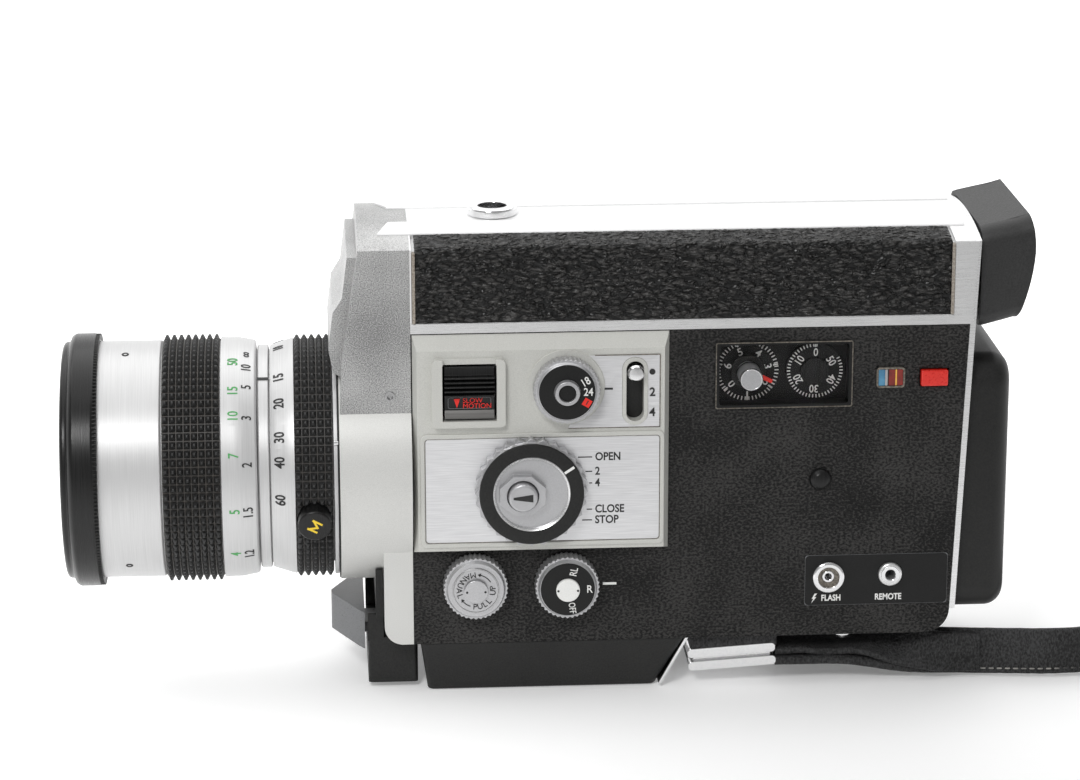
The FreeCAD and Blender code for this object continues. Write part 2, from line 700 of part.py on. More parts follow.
def circuit_board():
    board = box(34, 76, -19.0, -17.4, 36, 66)
    for i in range(4):
        x = 38 + i * 9
        board = board.fuse(box(x, x + 6, -17.4, -14.8, 42, 52))
    return board.removeSplitter()


def make_inside():
    save("rotary_shutter", rotary_shutter())
    save("motor_pinion", motor_pinion())
    save("motor", motor())
    save("chassis_plate", chassis_plate())
    save("takeup_spindle", takeup_spindle())
    save("circuit_board", circuit_board())
    tube = rod_x(FINDER_R, 22, 104.6, 0, FINDER_Z).cut(rod_x(7.8, 20, 110, 0, FINDER_Z))
    save("finder_tube", tube)
    save("eyepiece_lens", turned_x([(97.6, 0), (98.6, 7.8), (101.0, 7.8), (102.4, 0)], 0, FINDER_Z))
    ring = turned_x([(102.0, 9.1), (102.0, 12.4), (105.2, 12.4), (105.8, 11.8), (105.8, 9.1)], 0, FINDER_Z)
    save("diopter_ring", ring)


# ---------------------------------------------------------------- eyecup, base, strap and screws

def eyecup_section(x0, y, low, high, lean):
    corners = [V(x0, -y, low), V(x0, y, low), V(x0 + lean, y, high), V(x0 + lean, -y, high)]
    return Part.makePolygon(corners + corners[:1])


def eyecup():
    """Rubber hood, open to the rear, with a hole for the diopter ring."""
    outer = Part.makeLoft([eyecup_section(101.6, 22.4, 89.0, 113.4, 0),
                           eyecup_section(112.2, 23.0, 88.4, 117.4, 2.6)], True, True)
    edges = [e for e in outer.Edges if abs(e.tangentAt(e.FirstParameter).x) > 0.7]
    outer = outer.makeFillet(4.0, edges)
    inner = Part.makeLoft([eyecup_section(103.6, 20.2, 91.2, 111.4, 0),
                           eyecup_section(114.2, 21.0, 90.4, 115.8, 3.2)], True, True)
    inner_edges = [e for e in inner.Edges if abs(e.tangentAt(e.FirstParameter).x) > 0.7]
    inner = inner.makeFillet(3.0, inner_edges)
    return outer.cut(inner).cut(rod_x(12.9, 100, 110, 0, FINDER_Z))


def grip_base():
    """Foot below the body: slanted rear, flat underside."""
    side_view = [(-31.6, 0), (24.0, 0), (31.0, BODY_BOTTOM), (-33.4, BODY_BOTTOM)]
    end_view = [(-21.5, 0), (21.5, 0), (24.8, BODY_BOTTOM), (-24.8, BODY_BOTTOM)]
    long_prism = plate_xz(side_view, -HALF_WIDTH, HALF_WIDTH)
    cross_prism = face_of([V(-40, y, z) for y, z in end_view]).extrude(V(80, 0, 0))
    solid = long_prism.common(cross_prism)
    solid = solid.makeFillet(1.6, [e for e in solid.Edges if abs(e.tangentAt(e.FirstParameter).z) > 0.5])
    solid = solid.cut(rod_z(6.0, -1, 9))
    for x, y in BASE_SCREWS:
        solid = solid.cut(rod_z(2.6, -1, 1.8, x, y)).cut(rod_z(1.5, -1, 8, x, y))
    return solid


TRIGGER_REAR = -46.7
TRIGGER_TRAVEL = 2.5


def grip_front():
    """Block under the lens that guides the trigger, with the plate that rises behind it."""
    low_block = rounded_box(-46.0, -33.9, -19, 19, 1.2, 12.8, 1.0, Z_AXIS)
    nose = box(-46.0, -42.2, -19, 19, 12.0, 18.6)
    riser = box(-44.0, -42.2, -21, 21, 18.6, 31.0)
    solid = low_block.fuse(nose).fuse(riser)
    recess = box(-47, -43.4, -17.4, 17.4, 8.6, 19.5)
    guide = box(-47, -38.6, -5.3, 5.3, 9.0, 12.3)
    return solid.cut(recess).cut(guide).cut(rod_x(SHROUD_R + GAP, -60, -30)).removeSplitter()


def trigger():
    """Bow-shaped trigger: two hollow flanks that meet in a rounded stem."""
    half = 17.0
    points = [(TRIGGER_REAR, half), (-48.2, 14.6), (-50.4, 10.0), (-52.8, 5.0), (-54.2, 2.0), (-54.7, 0.9)]
    outline = [V(x, y, 9.2) for x, y in points] + [V(x, -y, 9.2) for x, y in reversed(points)]
    bow = face_of(outline).extrude(V(0, 0, 9.4))
    tongue = box(TRIGGER_REAR, -42.4, -5.0, 5.0, 9.3, 12.0)
    return bow.fuse(tongue).removeSplitter()


def strap_clasp():
    """Chromed clasp: two stacked bars on a hanger below the body."""
    lower = rounded_box(32.0, 53.6, -23, -10, 3.6, 6.0, 1.0, Y_AXIS)
    upper = rounded_box(32.0, 53.6, -23, -10, 6.9, 9.3, 1.0, Y_AXIS)
    web = box(33.4, 52.4, -22, -11, 5.8, 7.1)
    hanger = box(33.5, 37.5, -21, -12, 9.0, BODY_BOTTOM)
    return lower.fuse(upper).fuse(web).fuse(hanger).removeSplitter()


STRAP_THICK = 2.6
STRAP_LOW = 0.4
STRAP_HIGH = 11.8
STRAP_ROUTE = [(53.6, -17.0), (78.0, -17.0), (104.0, -20.0), (130.0, -22.6), (150.0, -14.0),
               (155.0, 7.0), (143.0, 22.0)]


def strap():
    """Plain band on edge along the route: straight runs joined by tangent arcs."""
    pts = [V(x, y, 0) for x, y in STRAP_ROUTE]
    solids = []
    start = pts[0]
    length = 0.0
    for i in range(1, len(pts)):
        last = i == len(pts) - 1
        before = pts[i] - pts[i - 1]
        if last:
            end = pts[i]
            arc = None
        else:
            after = pts[i + 1] - pts[i]
            u, w = V(before).normalize(), V(after).normalize()
            turn = u.getAngle(w)
            cut = 0.45 * min(before.Length, after.Length)
            radius = cut / math.tan(turn / 2)
            print("strap radius", round(radius, 1))
            end = pts[i] - u * cut
            sense = 1 if u.cross(w).z > 0 else -1
            arc = (u, w, turn, radius, sense, pts[i] + w * cut)
        solids.append(band_run(start, end))
        length += (end - start).Length
        if arc:
            u, w, turn, radius, sense, start_next = arc
            solids.append(band_arc(end, u, turn, radius, sense))
            length += radius * turn
            start = start_next
    solid = solids[0].fuse(solids[1:]).removeSplitter()
    section = STRAP_THICK * (STRAP_HIGH - STRAP_LOW)
    print("strap length", round(length, 1), "volume ratio", round(solid.Volume / (section * length), 4))
    return solid


def band_run(a, b):
    u = (b - a).normalize()
    n = V(-u.y, u.x, 0) * (STRAP_THICK / 2)
    low = V(0, 0, STRAP_LOW)
    corners = [a + n + low, b + n + low, b - n + low, a - n + low]
    return face_of(corners).extrude(V(0, 0, STRAP_HIGH - STRAP_LOW))


def band_arc(a, u, turn, radius, sense):
    n = V(-u.y, u.x, 0)
    centre = a + n * (radius * sense)
    low = V(0, 0, STRAP_LOW)
    half = n * (STRAP_THICK / 2)
    high = V(0, 0, STRAP_HIGH)
    section = face_of([a + half + low, a - half + low, a - half + high, a + half + high])
    return section.revolve(centre, V(0, 0, sense), math.degrees(turn))


def body_screws():
    screws = []
    for y0 in (-25.3, 23.0):
        head = rod_y(1.3, y0, y0 + 2.3, (-40.0, 75.6))
        socket_y = y0 - 0.5 if y0 < 0 else y0 + 1.3
        screws.append(head.cut(rod_y(0.7, socket_y, socket_y + 1.5, (-40.0, 75.6))))
    for x, y in BASE_SCREWS:
        screw = rod_z(2.5, 0.4, 1.8, x, y).fuse(rod_z(1.4, 1.8, 7.5, x, y))
        screws.append(screw.cut(box(x - 2, x + 2, y - 0.3, y + 0.3, 0, 1.0)).removeSplitter())
    return Part.makeCompound(screws)


def make_outside():
    save("eyecup", eyecup())
    save("grip_base", grip_base())
    save("grip_front", grip_front())
    save("trigger", trigger())
    save("tripod_socket", rod_z(6.0, 0, 9.0).cut(rod_z(3.175, -1, 8.0)))
    save("strap_clasp", strap_clasp())
    save("strap", strap())
    save("body_screws", body_screws())


make_lens()
make_front()
make_casing()
make_controls()
make_details()
make_inside()
make_outside()
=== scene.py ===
import json
import math

import bmesh
import bpy
from mathutils import Matrix, Vector, noise

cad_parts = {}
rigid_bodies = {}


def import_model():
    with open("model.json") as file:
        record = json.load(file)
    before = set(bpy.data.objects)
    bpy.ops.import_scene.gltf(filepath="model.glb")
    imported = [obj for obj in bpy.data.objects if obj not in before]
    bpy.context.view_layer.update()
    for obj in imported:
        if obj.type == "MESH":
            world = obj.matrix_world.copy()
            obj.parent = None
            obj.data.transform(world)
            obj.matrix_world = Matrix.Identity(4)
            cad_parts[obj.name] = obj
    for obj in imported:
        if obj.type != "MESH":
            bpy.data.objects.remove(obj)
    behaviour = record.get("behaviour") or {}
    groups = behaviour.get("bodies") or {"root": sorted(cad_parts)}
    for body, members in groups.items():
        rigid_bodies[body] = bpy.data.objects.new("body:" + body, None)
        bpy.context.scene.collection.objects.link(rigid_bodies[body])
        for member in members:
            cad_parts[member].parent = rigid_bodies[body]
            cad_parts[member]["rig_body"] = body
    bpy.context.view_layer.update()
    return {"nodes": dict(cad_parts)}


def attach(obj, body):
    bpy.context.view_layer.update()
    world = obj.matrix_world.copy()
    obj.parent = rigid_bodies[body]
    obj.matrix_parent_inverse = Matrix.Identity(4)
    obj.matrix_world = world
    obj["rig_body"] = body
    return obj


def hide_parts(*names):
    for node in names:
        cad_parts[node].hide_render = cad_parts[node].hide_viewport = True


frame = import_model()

MM = 0.001
LENS_Z = 54.0
SIDE_Y = -25.0
PANEL_Y = -28.0
CASE = "camera_body"
AXIS = 0.02  # inner radius of a turned piece that is solid to its axis
WELD = 1e-7  # points nearer than this are one
FLAT_ANGLE = 0.4  # faces that differ by less than this many degrees are one
MAT = {}
noise.seed_set(11)  # noise_vector takes its offset from this seed


# ---------------------------------------------------------------- materials

def new_material(name):
    made = bpy.data.materials.new(name)
    made.use_nodes = True
    MAT[name] = made
    return made.node_tree, made.node_tree.nodes["Principled BSDF"]


def link(tree, a, b):
    tree.links.new(a, b)


def noise_node(tree, scale, detail=3.0, stretch=(1, 1, 1)):
    """Noise over the object's own coordinates; scale is in repeats per metre."""
    where = tree.nodes.new("ShaderNodeTexCoord")
    mapping = tree.nodes.new("ShaderNodeMapping")
    mapping.inputs["Scale"].default_value = [scale * s for s in stretch]
    link(tree, where.outputs["Object"], mapping.inputs["Vector"])
    made = tree.nodes.new("ShaderNodeTexNoise")
    made.inputs["Scale"].default_value = 1.0
    made.inputs["Detail"].default_value = detail
    link(tree, mapping.outputs["Vector"], made.inputs["Vector"])
    return made


def spread(tree, source, low, high, start=0.3, end=0.7):
    made = tree.nodes.new("ShaderNodeMapRange")
    made.inputs["From Min"].default_value = start
    made.inputs["From Max"].default_value = end
    made.inputs["To Min"].default_value = low
    made.inputs["To Max"].default_value = high
    link(tree, source, made.inputs["Value"])
    return made.outputs["Result"]


def blend_colours(tree, factor, dark, light):
    """Blend of two tones; a tone is a colour, or one number for a grey."""
    made = tree.nodes.new("ShaderNodeMix")
    made.data_type = "RGBA"
    link(tree, factor, made.inputs["Factor"])
    for side, tone in (("A", dark), ("B", light)):
        made.inputs[side].default_value = (tone, tone, tone, 1) if isinstance(tone, float) else (*tone, 1)
    return made.outputs["Result"]


def maths(tree, kind, operation, *values):
    """Math or VectorMath node whose inputs are sockets or plain values."""
    made = tree.nodes.new("ShaderNode" + kind)
    made.operation = operation
    for socket, value in zip(made.inputs, values):
        if isinstance(value, bpy.types.NodeSocket):
            link(tree, value, socket)
        else:
            socket.default_value = value
    return made.outputs["Vector" if kind == "VectorMath" and operation != "LENGTH" else "Value"]


def relief(tree, shader, height, strength, depth):
    """Bump that follows a height."""
    made = tree.nodes.new("ShaderNodeBump")
    made.inputs["Strength"].default_value = strength
    made.inputs["Distance"].default_value = depth
    link(tree, height, made.inputs["Height"])
    link(tree, made.outputs["Normal"], shader.inputs["Normal"])


BLOTCH_SHARE = 0.35


def finish(name, dark, light, grain=2500, rough=(0.35, 0.5), bump=0.03, metallic=0.0, stretch=(1, 1, 1),
           blotch=60, coat=0.0, detail=3.0, depth=0.0002, specular=0.5, span=(0.45, 0.9)):
    """Grained finish: colour and roughness follow a fine noise, with a slow change over the surface."""
    tree, shader = new_material(name)
    fine = noise_node(tree, grain, detail, stretch).outputs["Fac"]
    slow = noise_node(tree, blotch, 2.0).outputs["Fac"]
    tone = spread(tree, maths(tree, "Math", "MULTIPLY_ADD", slow, BLOTCH_SHARE, fine), 0, 1, *span)
    link(tree, blend_colours(tree, tone, dark, light), shader.inputs["Base Color"])
    link(tree, spread(tree, fine, *rough), shader.inputs["Roughness"])
    shader.inputs["Metallic"].default_value = metallic
    shader.inputs["Specular IOR Level"].default_value = specular
    shader.inputs["Coat Weight"].default_value = coat
    shader.inputs["Coat Roughness"].default_value = 0.08
    relief(tree, shader, fine, bump, depth)


FOLD_BEND = 1.7


def leather_with_painted_shade_and_highlight(name, dark, light, size, stretch, rough, depth):
    """Leather: soft folds, longer one way than the other, with painted shade darkening the creases between them
    and a painted highlight lightening the fold tops.
    """
    tree, shader = new_material(name)
    warp = noise_node(tree, size * 0.5, 2.0, stretch)
    where = tree.nodes.new("ShaderNodeTexCoord").outputs["Object"]
    scaled = maths(tree, "VectorMath", "MULTIPLY", where, stretch)
    bend = [FOLD_BEND / size] * 3
    moved = maths(tree, "VectorMath", "MULTIPLY_ADD", warp.outputs["Color"], bend, scaled)
    cells = tree.nodes.new("ShaderNodeTexVoronoi")
    cells.feature = "F1"
    cells.inputs["Scale"].default_value = size
    link(tree, moved, cells.inputs["Vector"])
    # Painted shade and highlight: the crease distance sets the colour, from near black in the creases to light on
    # the fold tops; the same height drives the bump
    height = spread(tree, cells.outputs["Distance"], 1.0, 0.0, 0.12, 0.66)
    link(tree, blend_colours(tree, height, dark, light), shader.inputs["Base Color"])
    link(tree, spread(tree, warp.outputs["Fac"], *rough), shader.inputs["Roughness"])
    shader.inputs["Specular IOR Level"].default_value = 0.4
    relief(tree, shader, height, 1.0, depth)


TURNED = (6.0, 0.05, 0.05)
ALONG_X = (0.03, 1.6, 1.6)
finish("satin_silver", 0.56, 0.66, 1400, (0.38, 0.48), 0.04, 0.5, TURNED, 25)
finish("pale_grey_paint", (0.51, 0.51, 0.48), (0.62, 0.62, 0.585), 5200, (0.38, 0.5), 0.1, 0.15, blotch=40)
finish("housing_paint", (0.57, 0.57, 0.55), (0.68, 0.68, 0.66), 5200, (0.36, 0.46), 0.08, 0.25, blotch=40)
finish("roof_paint", 0.78, 0.86, 5200, (0.36, 0.46), 0.06, 0.2, blotch=40)
finish("grey_paint", 0.2, (0.6, 0.6, 0.595), 3600, (0.32, 0.5), 0.35, 0.55, blotch=50, detail=3.0, span=(0.5,
       0.82))
finish("brushed_plate", (0.64, 0.64, 0.65), (0.84, 0.84, 0.85), 5200, (0.3, 0.46), 0.1, 0.65, ALONG_X, 30)
finish("bright_trim", 0.74, 0.85, 4000, (0.24, 0.34), 0.05, 0.8, ALONG_X, 30)
finish("chrome", (0.8, 0.8, 0.81), 0.88, 1800, (0.1, 0.18), 0.02, 1.0)
finish("satin_cap", (0.44, 0.44, 0.45), (0.55, 0.55, 0.56), 5200, (0.3, 0.42), 0.06, 0.75)
finish("steel", 0.42, 0.56, 3200, (0.25, 0.4), 0.08, 1.0)
finish("brass", (0.5, 0.34, 0.12), (0.68, 0.5, 0.22), 2600, (0.25, 0.42), 0.08, 1.0)
finish("black_gloss", 0.003, 0.009, 1600, (0.24, 0.36), 0.05, stretch=TURNED, specular=0.36)
finish("black_satin", 0.006, (0.016, 0.016, 0.015), 2600, (0.4, 0.54), 0.05, specular=0.35)
finish("black_face", 0.004, 0.01, 3800, (0.42, 0.54), 0.02, specular=0.3)
finish("black_leatherette", 0.001, (0.04, 0.0385, 0.037), 2000, (0.34, 0.58), 1.0, detail=2.0, depth=0.0006,
       stretch=(0.7, 1, 1), specular=0.25, span=(0.6, 0.8))
# Black leather whose colour carries painted shade in the creases and a painted highlight on the fold tops
leather_with_painted_shade_and_highlight("black_leather", 0.0004, (0.095, 0.092, 0.089), 1000, (0.42, 1.0, 1.0), (0.26, 0.42), 0.0012)
finish("strap_leather", 0.0005, (0.046, 0.046, 0.047), 2300, (0.4, 0.62), 0.9, depth=0.0006, specular=0.35,
       stretch=(1.0, 1.0, 0.6), span=(0.52, 0.86))
finish("black_rubber", 0.012, 0.028, 2400, (0.46, 0.62), 0.3)
finish("dark_grey_plastic", (0.1, 0.103, 0.108), (0.15, 0.154, 0.16), 3600, (0.26, 0.38), 0.05)
finish("block_black", 0.006, (0.018, 0.018, 0.017), 2600, (0.4, 0.56), 0.25, specular=0.35)
finish("smoke_plastic", (0.1, 0.098, 0.093), (0.26, 0.255, 0.245), 500, (0.25, 0.4), 0.05, 0.5, ALONG_X)
finish("red_plastic", (0.62, 0.016, 0.01), (0.76, 0.03, 0.018), 1800, (0.25, 0.36), 0.04, coat=0.2)
finish("circuit_green", (0.02, 0.1, 0.04), (0.04, 0.2, 0.08), 900, (0.3, 0.5), 0.1)
finish("battery_wrap", (0.03, 0.05, 0.16), (0.06, 0.09, 0.26), 700, (0.2, 0.35), 0.03)
finish("ink_black", 0.01, 0.02, 6000, (0.4, 0.55), 0.05)
finish("ink_white", (0.74, 0.74, 0.72), (0.86, 0.86, 0.84), 6000, (0.4, 0.55), 0.05)
finish("ink_green", (0.05, 0.3, 0.08), (0.09, 0.42, 0.12), 6000, (0.4, 0.55), 0.05)
finish("ink_red", (0.72, 0.012, 0.008), (0.85, 0.03, 0.015), 6000, (0.35, 0.5), 0.05)
finish("ink_yellow", (0.82, 0.56, 0.02), (0.92, 0.68, 0.05), 6000, (0.35, 0.5), 0.05)
finish("thread", 0.02, (0.3, 0.29, 0.27), 300, (0.6, 0.8), 0.2, span=(0.55, 0.8))
finish("edge_metal", (0.2, 0.16, 0.13), (0.52, 0.48, 0.42), 2200, (0.35, 0.55), 0.15, 0.5)
finish("dark_brass", (0.06, 0.055, 0.045), (0.3, 0.27, 0.23), 1800, (0.35, 0.5), 0.1, 0.6)
finish("window_blue", (0.02, 0.1, 0.2), (0.12, 0.36, 0.55), 320, (0.1, 0.2), 0.02, coat=0.5)
finish("window_red", (0.1, 0.01, 0.008), (0.3, 0.02, 0.012), 320, (0.1, 0.2), 0.02, coat=0.5)
finish("window_amber", (0.75, 0.35, 0.05), (0.9, 0.5, 0.1), 900, (0.2, 0.3), 0.02)


def glass(name, tint, rough=0.02, bend=1.5):
    tree, shader = new_material(name)
    shader.inputs["Base Color"].default_value = (*tint, 1)
    shader.inputs["Transmission Weight"].default_value = 1.0
    shader.inputs["IOR"].default_value = bend
    haze = noise_node(tree, 350, 2.0).outputs["Fac"]
    link(tree, spread(tree, haze, rough * 0.5, rough * 1.6), shader.inputs["Roughness"])
    relief(tree, shader, haze, 0.01, 0.0001)


glass("optical_glass", (0.72, 0.66, 0.86))
glass("window_glass", (0.95, 0.95, 0.95), 0.015, 1.14)


def knurl_rubber(name, valley, tip):
    """Rubber whose valleys hold pale dust: the tone follows the distance from the lens axis."""
    tree, shader = new_material(name)
    where = tree.nodes.new("ShaderNodeTexCoord").outputs["Object"]
    from_axis = maths(tree, "VectorMath", "MULTIPLY_ADD", where, (0, 1, 1), (0, 0, -LENS_Z * MM))
    radius = maths(tree, "VectorMath", "LENGTH", from_axis)
    grain = noise_node(tree, 900, 4.0).outputs["Fac"]
    dusty = spread(tree, radius, 1, 0, valley * MM, (valley * 0.75 + tip * 0.25) * MM)
    amount = maths(tree, "Math", "MULTIPLY", dusty, spread(tree, grain, 0.15, 1.0))
    link(tree, blend_colours(tree, amount, 0.018, (0.060, 0.052, 0.045)), shader.inputs["Base Color"])
    link(tree, spread(tree, grain, 0.42, 0.56), shader.inputs["Roughness"])
    relief(tree, shader, grain, 0.12, 0.0002)


knurl_rubber("focus_rubber", 28.9, 30.1)
knurl_rubber("zoom_rubber", 28.5, 29.6)


# ---------------------------------------------------------------- mesh helpers

def settle(piece, body, material, nodes=()):
    """Dress a piece, put it on its body and hide the CAD nodes it stands for."""
    piece.data.materials.clear()
    piece.data.materials.append(MAT[material])
    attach(piece, body)
    if nodes:
        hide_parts(*nodes)
    return piece


def in_scene(name, data):
    made = bpy.data.objects.new(name, data)
    bpy.context.scene.collection.objects.link(made)
    return made


def worked_out(holder):
    """Mesh of an object as its modifiers or its curve make it."""
    bpy.context.view_layer.update()
    return bpy.data.meshes.new_from_object(holder.evaluated_get(bpy.context.evaluated_depsgraph_get()))


def smooth(mesh, angle):
    mesh.polygons.foreach_set("use_smooth", [True] * len(mesh.polygons))
    mesh.set_sharp_from_angle(angle=math.radians(angle))


def round_edges(piece, width, angle=30):
    made = piece.modifiers.new("edges", "BEVEL")
    made.width = width * MM
    made.segments = 3
    made.limit_method = "ANGLE"
    made.angle_limit = math.radians(angle)
    made.harden_normals = True
    made.use_clamp_overlap = True
    return piece


def new_mesh(name, verts, faces, weld=0.0):
    """Mesh from vertices in millimetres, with its faces turned outwards."""
    mesh = bpy.data.meshes.new(name)
    mesh.from_pydata([[c * MM for c in v] for v in verts], [], faces)
    work = bmesh.new()
    work.from_mesh(mesh)
    if weld:
        bmesh.ops.remove_doubles(work, verts=work.verts, dist=weld)
    bmesh.ops.recalc_face_normals(work, faces=work.faces)
    work.to_mesh(mesh)
    work.free()
    return mesh


def mesh_piece(name, verts, faces, body, material, nodes=(), angle=35):
    """New piece from vertices in millimetres."""
    mesh = new_mesh(name, verts, faces, WELD)
    smooth(mesh, angle)
    return settle(in_scene(name, mesh), body, material, nodes)


def body_of(node):
    return frame["nodes"][node]["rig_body"]


def softened(node, material, width):
    """Copy of a CAD node with clean faces and rounded edges, in place of the node."""
    mesh = frame["nodes"][node].data.copy()
    work = bmesh.new()
    work.from_mesh(mesh)
    bmesh.ops.remove_doubles(work, verts=work.verts, dist=2e-6)
    bmesh.ops.dissolve_limit(work, angle_limit=math.radians(FLAT_ANGLE), verts=work.verts, edges=work.edges)
    bmesh.ops.recalc_face_normals(work, faces=work.faces)
    work.to_mesh(mesh)
    work.free()
    if "custom_normal" in mesh.attributes:
        mesh.attributes.remove(mesh.attributes["custom_normal"])
    smooth(mesh, 30)
    piece = settle(in_scene(node + "_made", mesh), body_of(node), material, (node,))
    if width:
        round_edges(piece, width)
    return piece


def soften_all(*rows):
    for row in rows:
        softened(*row)


def ring_faces(rows, columns, closed_rows):
    """Quads between rows of points; each row is a closed ring of columns."""
    faces = []
    last = rows if closed_rows else rows - 1
    for i in range(last):
        for j in range(columns):
            k = (j + 1) % columns
            n = (i + 1) % rows
            faces.append((i * columns + j, i * columns + k, n * columns + k, n * columns + j))
    return faces


def turned(name, outline, place, axis, body, material, around=96, width=0.0):
    """Ring or disc turned from a closed outline of (along, radius) points about an axis, X or Y."""
    verts = []
    for along, r in outline:
        for j in range(around):
            t = 2 * math.pi * j / around
            if axis == "X":
                verts.append((along, place[0] + r * math.cos(t), place[1] + r * math.sin(t)))
            else:
                verts.append((place[0] + r * math.cos(t), along, place[1] + r * math.sin(t)))
    piece = mesh_piece(name, verts, ring_faces(len(outline), around, True), body, material)
    if width:
        round_edges(piece, width)
    return piece


def placed(piece, spot, turn=0.0):
    """Moves the points of a piece, tipped about X by degrees and then put at a spot."""
    piece.data.transform(Matrix.Translation(Vector(spot) * MM) @ Matrix.Rotation(math.radians(turn), 4, "X"))
    return piece


def disc_outline(low, high, r):
    return [(low, AXIS), (low, r), (high, r), (high, AXIS)]


def capped_faces(count):
    """Faces of a closed shape between two ends with the same number of points."""
    faces = [tuple(range(count)), tuple(range(2 * count - 1, count - 1, -1))]
    for i in range(count):
        j = (i + 1) % count
        faces.append((i, i + count, j + count, j))
    return faces


def prism(name, outline, low, high, axis, body, material, width=0.15, nodes=()):
    """Plate or block from an outline of (y, z) points pushed along X, or of (x, z) points pushed along Y."""
    count = len(outline)
    verts = [(c, a, b) if axis == "X" else (a, c, b) for c in (low, high) for a, b in outline]
    faces = [tuple(range(count)), tuple(range(count, 2 * count))]
    for i in range(count):
        j = (i + 1) % count
        faces.append((i, j, count + j, count + i))
    piece = mesh_piece(name, verts, faces, body, material, nodes, 30)
    if width:
        round_edges(piece, width)
    return piece


def rounded(x0, x1, z0, z1, r, steps=6):
    """Outline of a rectangle with rounded corners."""
    points = []
    for cx, cz, start in ((x1 - r, z1 - r, 0), (x0 + r, z1 - r, 90), (x0 + r, z0 + r, 180), (x1 - r, z0 + r, 270)):
        for i in range(steps + 1):
            t = math.radians(start + 90 * i / steps)
            points.append((cx + r * math.cos(t), cz + r * math.sin(t)))
    return points


def frame_strip(name, outer, inner, y0, y1, body, material, width=0.15):
    """Flat frame on the control side between two outlines with the same number of points."""
    verts = []
    for outline, y in ((outer, y0), (outer, y1), (inner, y1), (inner, y0)):
        verts += [(x, y, z) for x, z in outline]
    piece = mesh_piece(name, verts, ring_faces(4, len(outer), True), body, material, angle=30)
    if width:
        round_edges(piece, width)
    return piece


# ---------------------------------------------------------------- lettering

INK = 0.05
BOX_FACES = [(0, 1, 2, 3), (7, 6, 5, 4), (0, 4, 5, 1), (1, 5, 6, 2), (2, 6, 7, 3), (3, 7, 4, 0)]


def text_points(text, size, bold=0.0, align="CENTER"):
    """Vertices and faces of lettering laid flat, in millimetres."""
    curve = bpy.data.curves.new("lettering", "FONT")
    curve.body = text
    curve.size = size
    curve.align_x = align
    curve.align_y = "CENTER"
    curve.offset = bold
    curve.extrude = INK
    curve.resolution_u = 4
    holder = in_scene("lettering", curve)
    mesh = worked_out(holder)
    verts = [tuple(v.co) for v in mesh.vertices]
    faces = [tuple(p.vertices) for p in mesh.polygons]
    bpy.data.objects.remove(holder)
    bpy.data.curves.remove(curve)
    bpy.data.meshes.remove(mesh)
    return verts, faces


class Marks:
    """Lettering and lines of one colour on one body, gathered into one mesh."""

    def __init__(self):
        self.verts = []
        self.faces = []

    def add(self, verts, faces):
        start = len(self.verts)
        self.verts += verts
        self.faces += [tuple(start + i for i in f) for f in faces]

    def on_side(self, text, x, z, y, size, turn=0.0, bold=0.0, align="CENTER", narrow=1.0):
        """Text on the control side at a point, turned anticlockwise by degrees."""
        verts, faces = text_points(text, size, bold, align)
        c, s = math.cos(math.radians(turn)), math.sin(math.radians(turn))
        placed = [(x + u * narrow * c - v * s, y - w, z + u * narrow * s + v * c) for u, v, w in verts]
        self.add(placed, faces)

    def on_lens(self, text, x, angle, r, size, bold=0.0, spin=0.0, narrow=1.0, slope=0.0):
        """Text wrapped on the barrel, or on a cone; it reads upwards, with its tops to the front."""
        self.wrap(*text_points(text, size, bold), x, angle, r, spin, narrow, slope)

    def wrap(self, verts, faces, x, angle, r, spin=0.0, narrow=1.0, slope=0.0):
        c, s = math.cos(math.radians(spin)), math.sin(math.radians(spin))
        placed = []
        for u, v, w in verts:
            u, v = u * narrow * c - v * s, u * narrow * s + v * c
            t = math.radians(angle) + u / r
            out = r + w - slope * v
            placed.append((x - v, -out * math.cos(t), LENS_Z + out * math.sin(t)))
        self.add(placed, faces)

    def lens_bar(self, start, end, wide, x, angle, r, spin):
        """Straight stroke between two points of a letter drawn on the barrel."""
        run = (Vector(end) - Vector(start)).normalized() * (wide / 2)
        corners = []
        for point, way in ((start, -1), (end, 1)):
            for side in (-1, 1):
                corners.append((point[0] + way * run.x - way * side * run.y,
                                point[1] + way * run.y + way * side * run.x))
        verts = [(u, v, lift) for lift in (-INK, INK) for u, v in corners]
        self.wrap(verts, BOX_FACES, x, angle, r, spin)

    def block(self, corners, y, lift=INK):
        """Flat shape on the control side from (x, z) corners."""
        verts = [(x, y + end, z) for end in (lift, -lift) for x, z in corners]
        self.add(verts, capped_faces(len(corners)))

    def line(self, x0, z0, x1, z1, y, wide):
        run = Vector((x1 - x0, z1 - z0)).normalized() * (wide / 2)
        side = (-run.y, run.x)
        self.block([(x0 + side[0], z0 + side[1]), (x0 - side[0], z0 - side[1]),
                    (x1 - side[0], z1 - side[1]), (x1 + side[0], z1 + side[1])], y)

    def spot(self, x, z, y, r):
        self.block([(x + r * math.cos(math.tau * i / 20), z + r * math.sin(math.tau * i / 20))
                    for i in range(20)], y)

    def lens_line(self, x0, x1, angle, r, wide):
        corners = []
        for x, half in ((x0, -1), (x0, 1), (x1, 1), (x1, -1)):
            corners.append((x, math.radians(angle) + half * wide / 2 / r))
        verts = []
        for lift in (-INK, INK):
            for x, t in corners:
                verts.append((x, -(r + lift) * math.cos(t), LENS_Z + (r + lift) * math.sin(t)))
        self.add(verts, BOX_FACES)

    def made(self, name, body, material):
        return mesh_piece(name, self.verts, self.faces, body, material, angle=40)


# ---------------------------------------------------------------- camera, light and floor

